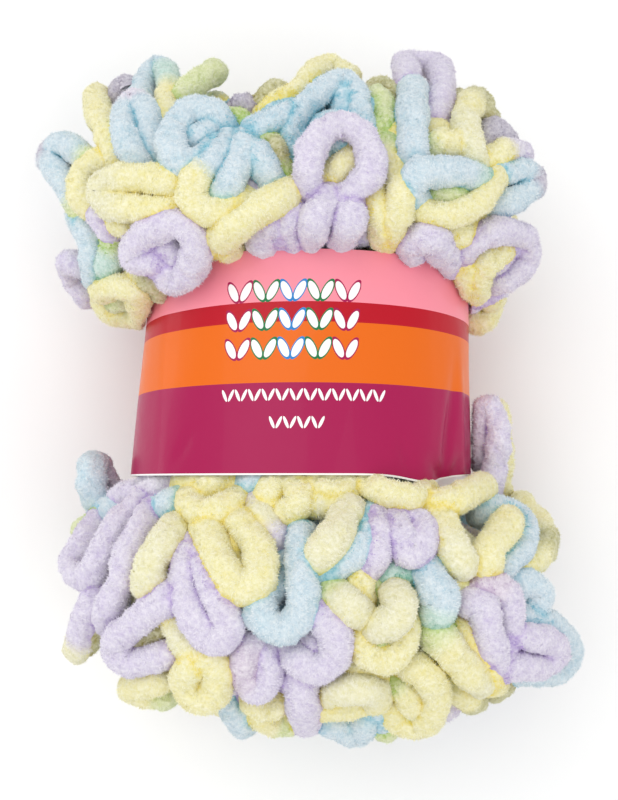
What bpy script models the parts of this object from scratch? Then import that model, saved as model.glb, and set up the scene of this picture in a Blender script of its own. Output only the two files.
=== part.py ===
"""Skein of thick plush loop yarn with a paper band round its waist.

The skein lies on its back on the plane z = 0, its long axis along Y and the
printed front of the band facing +Z. Lengths in the tables are millimetres,
and the finished objects are in metres.
"""

from collections import namedtuple
from math import cos, pi, radians, sin, sqrt

import bmesh
import bpy
from mathutils import Vector

MM = 0.001

YARN_COLOUR = (0.83, 0.82, 0.72)
YARN_ROUGHNESS = 0.95
PAPER_COLOUR = (0.62, 0.10, 0.16)
PAPER_ROUGHNESS = 0.3

# Yarn: a loop's breadth grows from its pinched root to its full tip
STRAND_RADIUS = 4.9
LOOP_STEPS = 18
LOOP_PINCH = 0.45
LOOP_FULLNESS = 1.2
HIDDEN_BREADTH = 10.0
HIDDEN_LIFT = 2.0

# Skein, lying with its middle plane at this height
MIDDLE_HEIGHT = 50.0
DOME_HEIGHT = 46.0
EYE_DISTANCE = 420.0
EYE_SETBACK = 26.0

# Side of the block that cuts the underside flat
FLOOR_CUT = 400.0

# Surface of the solid
VOXEL = 2.0
SMOOTH_ROUNDS = 1
SKEIN_SHARE_KEPT = 0.081

# Paper band
BAND_THICKNESS = 1.0
BAND_CLEARANCE = 0.3
BAND_COLUMNS = 44
BAND_ROWS = 4
BAND_SIDE_DIP = 4.0
BAND_DIP_RISE = 1.3
WAIST_SLACK = 1.1

# Middle of the outer box, measured from the middle of the band
BOX_MIDDLE_X = -0.5
BOX_MIDDLE_Y = -0.7

BandEdge = namedtuple("BandEdge", "y middle_x half_width half_depth")
BAND_BOTTOM = BandEdge(-22.8, -2.6, 50.0, 38.0)
BAND_TOP = BandEdge(39.5, 0.2, 47.0, 36.5)

Bunch = namedtuple("Bunch", "x y reach_x reach_y core_x core_y core_z")
TOP_BUNCH = Bunch(-3.0, 62.0, 82.0, 44.0, 59.0, 29.0, 45.0)
BOTTOM_BUNCH = Bunch(2.0, -61.0, 83.0, 45.0, 62.0, 31.0, 45.0)
CORE_MIDDLE_HEIGHT = 43.0
CORE_SUBDIVISIONS = 4
WAIST_SIDES = 48

# Each loop is a closed turn of strand between its root, sunk in the bunch, and its tip.
# Places are as seen from the front on the middle plane, breadth is between the two arms,
# turn stands the loop on edge at 90, and the lifts are above or below the bunch's dome.
Loop = namedtuple("Loop", "root_x root_y tip_x tip_y breadth turn root_lift tip_lift")

TOP_LOOPS = [
    Loop(-63, 67, -77, 76, 9, 10, -8, -8),
    Loop(-66, 56, -72, 62, 10, 70, -12, -12),
    Loop(-55, 64, -67, 64, 8, 0, -8, -2),
    Loop(-36, 62, -61, 63, 8, 0, -4, 5),
    Loop(-56, 70, -63, 90, 10, 75, -10, -6),
    Loop(-51, 81, -54, 93, 10, 70, -16, -14),
    Loop(-50, 70, -53, 86, 10, 60, -4, 2),
    Loop(-45, 81, -46, 98, 7, 0, -10, -8),
    Loop(-39, 90, -29, 99, 9, 85, -8, -8),
    Loop(-40, 70, -26, 85, 13, 0, -2, 2),
    Loop(-22, 77, -30, 58, 10, 0, -3, 4),
    Loop(-18, 65, -13, 74, 10, 65, -6, -2),
    Loop(-18, 82, -19, 89, 10, 70, -16, -10),
    Loop(-21, 79, -22, 86, 8, 75, -14, -6),
    Loop(-11, 83, -10, 93, 10, 70, -12, -10),
    Loop(-7, 68, -10, 76, 9, 75, -12, -6),
    Loop(1, 82, 6, 99, 14, 0, -10, -8),
    Loop(-2, 68, 11, 96, 17, 0, -6, 0),
    Loop(-7, 79, -13, 83, 8, 70, -8, -4),
    Loop(3, 62, 12, 84, 18.5, 0, 0, 7),
    Loop(11, 66, 4, 53, 9, 50, -4, 2),
    Loop(14, 65, 14, 52, 9, 55, -4, 0),
    Loop(8, 66, 11, 74, 9, 70, -14, -10),
    Loop(-5, 61, -24, 51, 10, 55, -2, 2),
    Loop(-5, 48, -8, 56, 9, 50, -18, -2),
    Loop(-34, 46, -53, 44, 14, 0, 0, 3),
    Loop(-36, 49, -38, 36, 8, 50, 1, 1),
    Loop(-53, 52, -60, 51, 9, 70, -6, -2),
    Loop(-50, 51, -54, 51, 8, 70, -8, -2),
    Loop(-63, 40, -65, 52, 9, 65, -6, -4),
    Loop(-63, 31, -70, 40, 9, 65, -8, -8),
    Loop(-48, 32, -60, 29, 8.5, 0, 0, 0),
    Loop(35, 80, 34, 99, 9, 0, -10, -8),
    Loop(31, 70, 31, 93, 10, 80, -4, 3),
    Loop(49, 72, 47, 89, 10, 78, -4, 2),
    Loop(47, 73, 39, 76, 9, 70, -8, -4),
    Loop(50, 82, 51, 90, 9, 70, -12, -10),
    Loop(36, 75, 38, 83, 8, 70, -14, -12),
    Loop(51, 77, 55, 82, 9, 75, -12, -8),
    Loop(52, 73, 61, 75, 9, 75, -6, -2),
    Loop(55, 58, 66, 66, 7, 0, -4, 0),
    Loop(56, 66, 33, 62, 12, 0, -1, 5),
    Loop(25, 70, 24, 52, 9, 55, -4, 2),
    Loop(32, 42, 33, 50, 9, 70, -20, 0),
    Loop(40, 40, 42, 45, 9, 70, -16, -2),
    Loop(51, 38, 64, 49, 11, 0, -2, 0),
    Loop(50, 43, 53, 37, 9, 65, -4, -2),
    Loop(52, 34, 52, 25, 7, 20, -8, -8),
]

BOTTOM_LOOPS = [
    Loop(57, -28, 54, -3, 10, 65, 4, 4),
    Loop(-60, -34, -65, -21, 10, 72, 0, 0),
    Loop(-61, -40, -66, -38, 8, 75, -8, -8),
    Loop(-59, -35, -70, -50, 7, 0, -3, -1),
    Loop(-50, -30, -59, -52, 7, 0, -2, 3),
    Loop(-49, -24, -43, -28, 9, 60, -2, 1),
    Loop(-44, -28, -41, -33, 8, 70, -6, -3),
    Loop(-39, -39, -48, -52, 9, 75, -3, 4),
    Loop(-64, -60, -69, -73, 9, 75, -8, -8),
    Loop(-40, -68, -56, -76, 10, 0, -2, 3),
    Loop(-44, -59, -56, -67, 8, 40, -4, 0),
    Loop(-36, -44, -28, -71, 7.5, 0, -2, 4),
    Loop(-33, -23, -31, -33, 9, 60, -4, 2),
    Loop(-25, -35, -18, -55, 12.5, 0, -1, 5),
    Loop(-16, -22, -16, -28, 8, 75, -4, -1),
    Loop(-14, -30, -13, -38, 8, 75, -6, -2),
    Loop(-7, -23, -6, -32, 7, 0, -3, 3),
    Loop(-4, -40, -10, -68, 11, 0, -3, 3),
    Loop(12, -32, 4, -44, 10, 75, -2, 5),
    Loop(18, -32, 5, -49, 9, 0, -4, -2),
    Loop(24, -32, 28, -47, 10, 0, -2, 3),
    Loop(4, -22, 5, -28, 6, 0, -3, 2),
    Loop(25, -23, 25, -29, 9, 0, -3, 2),
    Loop(38, -30, 52, -27, 9, 70, -2, 2),
    Loop(42, -32, 45, -48, 9, 72, -4, 1),
    Loop(50, -42, 59, -38, 9, 60, -2, 3),
    Loop(52, -44, 64, -40, 14, 0, -4, -3),
    Loop(63, -49, 70, -44, 6, 0, -8, -8),
    Loop(61, -57, 69, -57, 8, 60, -8, -4),
    Loop(58, -76, 73, -76, 8, 0, -2, 2),
    Loop(60, -75, 77, -76, 12, 0, -6, -4),
    Loop(54, -55, 55, -73, 9, 50, -2, 3),
    Loop(55, -57, 48, -61, 8, 75, -3, 0),
    Loop(40, -51, 39, -62, 9, 68, -3, 3),
    Loop(17, -57, 10, -61, 6, 0, -3, 3),
    Loop(23, -70, 26, -60, 6, 0, -4, 4),
    Loop(28, -68, 20, -76, 8, 0, -4, 3),
    Loop(-2, -78, 8, -73, 12, 0, -2, 3),
    Loop(-16, -72, -15, -86, 9, 60, -4, 1),
    Loop(-2, -76, -1, -95, 9, 65, -4, -2),
    Loop(-16, -91, -8, -96, 9, 60, -10, -10),
    Loop(-27, -81, -37, -86, 8.5, 0, -2, 2),
    Loop(-43, -84, -52, -87, 9, 70, -8, -6),
    Loop(-38, -64, -36, -74, 8, 75, -8, -4),
    Loop(-24, -88, -21, -96, 8, 70, -10, -12),
    Loop(21, -85, 9, -87, 9, 72, -6, 0),
    Loop(14, -90, 9, -91, 8, 70, -10, -8),
    Loop(34, -79, 32, -96, 11, 0, -4, -2),
    Loop(41, -72, 56, -84, 9, 62, -4, 0),
    Loop(45, -85, 49, -90, 8, 75, -12, -10),
    Loop(42, -89, 42, -93, 8, 80, -14, -14),
    Loop(12, -91, 12, -99, 9, 65, -12, -12),
    Loop(23, -92, 23, -98, 9, 70, -12, -12),
    Loop(22, -88, 20, -92, 8, 70, -12, -10),
]

# The loops of the ends, sides and back, laid by rule in rings from the shoulder down
HiddenRing = namedtuple("HiddenRing", "height count root_share tip_share lean first_angle")
HIDDEN_RINGS = [
    HiddenRing(59.0, 12, 0.58, 0.79, 65.0, 0.0),
    HiddenRing(42.0, 13, 0.60, 0.79, 35.0, 14.0),
    HiddenRing(28.0, 13, 0.57, 0.81, 60.0, 22.0),
    HiddenRing(14.0, 12, 0.46, 0.75, 35.0, 0.0),
    HiddenRing(4.5, 8, 0.26, 0.56, 0.0, 16.0),
]


def seen_from_eye(x, y, height):
    """Carry a place on the middle plane along the line of sight to a height."""
    share = (height - MIDDLE_HEIGHT) / EYE_DISTANCE
    return Vector((x * (1 - share), y - share * (y + EYE_SETBACK), height))


def dome_height(bunch, x, y):
    """Height of a bunch's front surface over a place on the middle plane."""
    out = ((x - bunch.x) / bunch.reach_x) ** 2 + ((y - bunch.y) / bunch.reach_y) ** 2
    return MIDDLE_HEIGHT + DOME_HEIGHT * sqrt(max(0.0, 1 - out))


def front_place(bunch, x, y, lift):
    """A place of the front, lifted off the bunch's dome or sunk in it."""
    return seen_from_eye(x, y, dome_height(bunch, x, y) + lift)


def loop_points(root, tip, breadth, turn):
    """Points round a closed loop, pinched at its root and full near its tip."""
    ahead = (tip - root).normalized()
    level = Vector((0, 0, 1)).cross(ahead).normalized()
    side = level * cos(turn) + ahead.cross(level) * sin(turn)
    points = []
    for step in range(LOOP_STEPS):
        way = 2 * pi * step / LOOP_STEPS
        reached = (1 - cos(way)) / 2
        fullness = LOOP_FULLNESS * (LOOP_PINCH + (1 - LOOP_PINCH) * reached)
        points.append(root.lerp(tip, reached) + side * (sin(way) * fullness * breadth / 2))
    return points


def shown_loop_points(bunch, loop):
    """Points of a loop of the front, from its row in the table."""
    root = front_place(bunch, loop.root_x, loop.root_y, loop.root_lift)
    tip = front_place(bunch, loop.tip_x, loop.tip_y, loop.tip_lift)
    return loop_points(root, tip, loop.breadth, radians(loop.turn))


def band_section(y):
    """Middle and half sizes of the band's inner face at a place along the skein."""
    share = (y - BAND_BOTTOM.y) / (BAND_TOP.y - BAND_BOTTOM.y)
    middle_x = BAND_BOTTOM.middle_x + share * (BAND_TOP.middle_x - BAND_BOTTOM.middle_x)
    half_width = BAND_BOTTOM.half_width + share * (BAND_TOP.half_width - BAND_BOTTOM.half_width)
    half_depth = BAND_BOTTOM.half_depth + share * (BAND_TOP.half_depth - BAND_BOTTOM.half_depth)
    return middle_x, half_width, half_depth


def meets_band(place):
    """Whether a strand at this place would run into the band or the waist."""
    if not BAND_BOTTOM.y - STRAND_RADIUS < place.y < BAND_TOP.y + STRAND_RADIUS:
        return False
    middle_x, half_width, half_depth = band_section(place.y)
    across = (place.x - middle_x) / (half_width + STRAND_RADIUS)
    up = (place.z - MIDDLE_HEIGHT) / (half_depth + STRAND_RADIUS)
    return across ** 2 + up ** 2 < 1


def hidden_loop_points(bunch, ring, number):
    """Points of one loop of a ring round a bunch, or None where the band is in its way."""
    angle = radians(ring.first_angle + 360 * number / ring.count)
    lean = radians(ring.lean * (1 if number % 2 else -1))
    out = Vector((bunch.reach_x * cos(angle), bunch.reach_y * sin(angle), 0))
    middle = Vector((bunch.x, bunch.y, ring.height))
    root = middle + out * ring.root_share
    lift = -HIDDEN_LIFT if number % 3 else HIDDEN_LIFT
    tip = middle + out * ring.tip_share + Vector((0, 0, lift))
    return None if meets_band(tip) else loop_points(root, tip, HIDDEN_BREADTH, lean)


def add_strand(curve, points):
    """Add one closed strand to the curve."""
    spline = curve.splines.new("POLY")
    spline.points.add(len(points) - 1)
    for point, place in zip(spline.points, points):
        point.co = (*(place * MM), 1)
    spline.use_cyclic_u = True


def strands_object(collection):
    """All loops of both bunches as one curve object of round strands."""
    curve = bpy.data.curves.new("strands", "CURVE")
    curve.dimensions = "3D"
    curve.bevel_depth = STRAND_RADIUS * MM
    curve.bevel_resolution = 2
    for bunch, loops in ((TOP_BUNCH, TOP_LOOPS), (BOTTOM_BUNCH, BOTTOM_LOOPS)):
        for loop in loops:
            add_strand(curve, shown_loop_points(bunch, loop))
        for ring in HIDDEN_RINGS:
            for number in range(ring.count):
                points = hidden_loop_points(bunch, ring, number)
                if points:
                    add_strand(curve, points)
    strands = bpy.data.objects.new("strands", curve)
    collection.objects.link(strands)
    return strands


def band_point(angle, share, inset):
    """A place on the band's inner face, drawn in by an inset."""
    y = BAND_BOTTOM.y + share * (BAND_TOP.y - BAND_BOTTOM.y)
    middle_x, half_width, half_depth = band_section(y)
    dip = BAND_SIDE_DIP * min(1.0, max(0.0, share) * BAND_DIP_RISE) * (1 - abs(sin(angle)))
    x = middle_x + (half_width - inset) * cos(angle)
    return Vector((x, y - dip, MIDDLE_HEIGHT + (half_depth - inset) * sin(angle)))


def rolled_sheet(name, collection, thickness, inset, margin):
    """A sheet rolled up round the waist, its ends welded, and thickened outwards."""
    shape = bmesh.new()
    bmesh.ops.create_grid(shape, x_segments=BAND_COLUMNS, y_segments=BAND_ROWS, size=1)
    height = BAND_TOP.y - BAND_BOTTOM.y
    for vertex in shape.verts:
        share = (vertex.co.y + 1) / 2
        share += (2 * share - 1) * margin / height
        vertex.co = band_point(-pi * vertex.co.x, share, inset) * MM
    bmesh.ops.remove_doubles(shape, verts=shape.verts, dist=0.01 * MM)
    bmesh.ops.recalc_face_normals(shape, faces=shape.faces)
    mesh = bpy.data.meshes.new(name)
    shape.to_mesh(mesh)
    shape.free()
    sheet = bpy.data.objects.new(name, mesh)
    collection.objects.link(sheet)
    solidify = sheet.modifiers.new("thickness", "SOLIDIFY")
    solidify.thickness = thickness * MM
    solidify.offset = 1
    solidify.use_even_offset = True
    return sheet


def add_core(shape, bunch):
    """The packed heart of a bunch, which the loops grow from."""
    made = bmesh.ops.create_icosphere(shape, subdivisions=CORE_SUBDIVISIONS, radius=1)
    for vertex in made["verts"]:
        x = bunch.x + bunch.core_x * vertex.co.x
        y = bunch.y + bunch.core_y * vertex.co.y
        vertex.co = Vector((x, y, CORE_MIDDLE_HEIGHT + bunch.core_z * vertex.co.z)) * MM


def add_waist(shape):
    """The drawn-in yarn under the band, from bunch to bunch."""
    made = bmesh.ops.create_cone(
        shape, cap_ends=True, cap_tris=False, segments=WAIST_SIDES, radius1=1, radius2=1, depth=2
    )
    for vertex in made["verts"]:
        end = BAND_TOP if vertex.co.z > 0 else BAND_BOTTOM
        bunch = TOP_BUNCH if vertex.co.z > 0 else BOTTOM_BUNCH
        x = end.middle_x + (end.half_width - WAIST_SLACK) * vertex.co.x
        z = MIDDLE_HEIGHT + (end.half_depth - WAIST_SLACK) * vertex.co.y
        vertex.co = Vector((x, (end.y + bunch.y) / 2, z)) * MM


def skein_mesh(strands):
    """Cores, waist and strands gathered in one mesh."""
    evaluated = strands.evaluated_get(bpy.context.evaluated_depsgraph_get())
    mesh = bpy.data.meshes.new_from_object(evaluated)
    shape = bmesh.new()
    shape.from_mesh(mesh)
    add_core(shape, TOP_BUNCH)
    add_core(shape, BOTTOM_BUNCH)
    add_waist(shape)
    bmesh.ops.recalc_face_normals(shape, faces=shape.faces)
    shape.to_mesh(mesh)
    shape.free()
    bpy.data.objects.remove(strands)
    return mesh


def fuse_skein(skein):
    """Fuse the gathered shapes to one closed skin and thin out its faces."""
    remesh = skein.modifiers.new("one skin", "REMESH")
    remesh.mode = "VOXEL"
    remesh.voxel_size = VOXEL * MM
    remesh.use_smooth_shade = True
    smooth = skein.modifiers.new("soft skin", "SMOOTH")
    smooth.factor = 0.5
    smooth.iterations = SMOOTH_ROUNDS
    decimate = skein.modifiers.new("fewer faces", "DECIMATE")
    decimate.ratio = SKEIN_SHARE_KEPT
    decimate.use_collapse_triangulate = True


def cut(target, cutter):
    """Take a cutter out of an object."""
    boolean = target.modifiers.new(cutter.name, "BOOLEAN")
    boolean.operation = "DIFFERENCE"
    boolean.solver = "EXACT"
    boolean.object = cutter


def hide_cutter(cutter):
    """Keep a cutter out of sight."""
    cutter.hide_render = True
    cutter.display_type = "WIRE"


def floor_cutter(collection):
    """The space below the surface that the skein lies on."""
    shape = bmesh.new()
    bmesh.ops.create_cube(shape, size=FLOOR_CUT * MM)
    bmesh.ops.translate(shape, vec=Vector((0, 0, -FLOOR_CUT / 2 * MM)), verts=shape.verts)
    mesh = bpy.data.meshes.new("below_floor")
    shape.to_mesh(mesh)
    shape.free()
    cutter = bpy.data.objects.new("below_floor", mesh)
    collection.objects.link(cutter)
    hide_cutter(cutter)
    return cutter


def plain_material(name, colour, roughness):
    """A Principled material of one colour."""
    material = bpy.data.materials.new(name)
    material.use_nodes = True
    shader = material.node_tree.nodes["Principled BSDF"]
    shader.inputs["Base Color"].default_value = (*colour, 1)
    shader.inputs["Roughness"].default_value = roughness
    shader.inputs["Metallic"].default_value = 0
    return material


def new_collection(name):
    """A collection linked to the scene."""
    collection = bpy.data.collections.new(name)
    bpy.context.scene.collection.children.link(collection)
    return collection


def main():
    """Build the skein and its band."""
    for thing in list(bpy.data.objects):
        bpy.data.objects.remove(thing)
    parts = new_collection("knitting_yarn")
    cutters = new_collection("cutters")

    band = rolled_sheet("band", parts, BAND_THICKNESS, 0.0, 0.0)
    band.data.materials.append(plain_material("printed_paper", PAPER_COLOUR, PAPER_ROUGHNESS))
    band.data.shade_smooth()

    strands = strands_object(parts)
    skein = bpy.data.objects.new("skein", skein_mesh(strands))
    parts.objects.link(skein)
    skein.data.materials.clear()
    skein.data.materials.append(plain_material("plush_yarn", YARN_COLOUR, YARN_ROUGHNESS))
    fuse_skein(skein)

    room = rolled_sheet(
        "room_for_band", cutters, BAND_THICKNESS + 2 * BAND_CLEARANCE, BAND_CLEARANCE, BAND_CLEARANCE
    )
    hide_cutter(room)
    cut(skein, room)
    cut(skein, floor_cutter(cutters))

    middle = bpy.data.objects.new("middle", None)
    middle.location = (-BOX_MIDDLE_X * MM, -BOX_MIDDLE_Y * MM, 0)
    parts.objects.link(middle)
    for thing in (skein, band, room):
        thing.parent = middle


main()
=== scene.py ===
"""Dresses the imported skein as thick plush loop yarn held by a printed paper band.

Lengths in the tables and fields are millimetres, and the meshes are in metres.
The skein lies on the plane z = 0 with the printed front of its band facing +Z.
"""

import logging
import re
from collections.abc import Sequence
from dataclasses import dataclass, field
from enum import Enum
from math import cos, pi, radians, sin, sqrt
from typing import NamedTuple

import bpy
import numpy as np
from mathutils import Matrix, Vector, kdtree, noise


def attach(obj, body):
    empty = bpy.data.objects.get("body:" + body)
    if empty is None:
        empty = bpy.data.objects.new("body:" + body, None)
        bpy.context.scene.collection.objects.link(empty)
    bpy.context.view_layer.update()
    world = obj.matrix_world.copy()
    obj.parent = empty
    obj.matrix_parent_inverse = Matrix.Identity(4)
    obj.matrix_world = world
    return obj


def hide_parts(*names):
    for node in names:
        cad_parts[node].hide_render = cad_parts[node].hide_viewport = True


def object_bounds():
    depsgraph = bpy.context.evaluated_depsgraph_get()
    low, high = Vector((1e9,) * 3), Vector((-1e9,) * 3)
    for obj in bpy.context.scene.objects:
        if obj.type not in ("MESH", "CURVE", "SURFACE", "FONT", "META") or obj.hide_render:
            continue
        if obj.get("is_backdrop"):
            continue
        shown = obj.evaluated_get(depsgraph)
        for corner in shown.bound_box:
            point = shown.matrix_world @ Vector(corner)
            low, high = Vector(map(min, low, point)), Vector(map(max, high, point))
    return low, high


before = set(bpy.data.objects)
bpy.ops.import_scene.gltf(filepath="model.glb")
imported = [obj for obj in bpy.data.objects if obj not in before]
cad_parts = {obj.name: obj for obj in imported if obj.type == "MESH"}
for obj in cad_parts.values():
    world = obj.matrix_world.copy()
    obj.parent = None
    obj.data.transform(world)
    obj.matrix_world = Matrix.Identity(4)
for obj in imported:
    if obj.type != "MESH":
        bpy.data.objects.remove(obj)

log = logging.getLogger("skein")
Colour = tuple[int, int, int]
Socket = bpy.types.NodeSocket
MM = 0.001
UP = np.array((0.0, 0.0, 1.0))
SHIFT = np.array((0.5, 0.7, 0.0))
MIDDLE_HEIGHT = 50.0
EYE_DISTANCE = 420.0
EYE_SETBACK = 26.0
SIGHT_LENGTH = sqrt(EYE_DISTANCE**2 + EYE_SETBACK**2)
FLOOR_GAP = 0.25
GOLDEN_ANGLE = 2.39996
# Shares of the way from one place to the next between which the dye changes
DYE_CHANGE = (0.15, 0.85)
# Order of a face's corners that turns it over
TURNED_OVER = (0, 3, 2, 1)


class Dye(Enum):
    """The colours of the yarn, each with the letter used in the tables; khaki and grey are painted shade."""

    YELLOW = "Y"
    CREAM = "C"
    GREEN = "G"
    # Painted shade: pale yellow strands where they lie in shade at the outline and between loops
    KHAKI_SHADE = "K"
    LAVENDER = "L"
    WHITE = "W"
    ROSE = "R"
    # Painted shade: pale lavender and blue strands where they lie in shade
    GREY_SHADE = "A"
    BLUE = "B"
    MINT = "M"


class Shade(Enum):
    """Tones of a dye on the pile: a painted highlight on the tips, the flank colour, painted shade between
    loops.
    """

    TIP = 0
    FLANK = 1
    PAINTED_SHADE = 2


@dataclass(frozen=True)
class Pastel:
    """One dye's flank colour, with a painted highlight for the tips of the pile and painted shade for between
    loops.
    """

    tip: Colour
    flank: Colour
    painted_shade: Colour

    def colour(self, shade: Shade) -> Colour:
        """The colour of one shade."""
        return (self.tip, self.flank, self.painted_shade)[shade.value]


# Painted highlight, flank colour and painted shade of each dye
PASTELS: dict[Dye, Pastel] = {
    Dye.YELLOW: Pastel((246, 244, 218), (238, 233, 184), (240, 224, 92)),
    Dye.CREAM: Pastel((244, 242, 224), (235, 232, 198), (236, 226, 132)),
    Dye.GREEN: Pastel((236, 240, 212), (220, 226, 176), (178, 208, 92)),
    Dye.KHAKI_SHADE: Pastel((222, 221, 188), (202, 199, 148), (172, 162, 86)),
    Dye.LAVENDER: Pastel((237, 233, 242), (221, 215, 231), (188, 164, 218)),
    Dye.WHITE: Pastel((240, 237, 243), (226, 221, 232), (202, 189, 215)),
    Dye.ROSE: Pastel((236, 229, 237), (221, 211, 224), (191, 164, 198)),
    Dye.GREY_SHADE: Pastel((218, 215, 224), (197, 192, 206), (160, 150, 172)),
    Dye.BLUE: Pastel((232, 239, 242), (208, 223, 231), (120, 196, 214)),
    Dye.MINT: Pastel((226, 238, 234), (202, 225, 217), (106, 188, 164)),
}
DYES = tuple(Dye)


class StrandRow(NamedTuple):
    """One strand of the front, from where it comes out of the skein to where it dips back.

    It has a dye letter for each of its places, the radius of its pile, and its places as
    seen on the middle plane, each with its lift above or below the bunch's dome.
    """

    dyes: str
    radius: float
    places: tuple[tuple[float, float, float], ...]

    def highest(self) -> float:
        """The highest lift along the strand."""
        return max(lift for _, _, lift in self.places)

    def square_from(self, x: float, y: float) -> float:
        """The square of the way from a spot of the front to the strand's nearest place."""
        return min((place_x - x) ** 2 + (place_y - y) ** 2 for place_x, place_y, _ in self.places)


def strand_rows(table: str) -> tuple[StrandRow, ...]:
    """Read a table of strands.

    Args:
        table: A line for each strand: dye letters, radius and a colon, then the places as
            x, y and lift, with commas between them. A line that starts with a space goes on
            with the strand above.

    Returns:
        The strands, in the table's order.
    """
    rows = []
    for text in re.split(r"\n(?=\w)", table.strip()):
        head, run = text.split(":")
        dyes, radius = head.split()
        places = tuple(tuple(float(number) for number in place.split()) for place in run.split(","))
        rows.append(StrandRow(dyes, float(radius), places))
    return tuple(rows)


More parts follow.
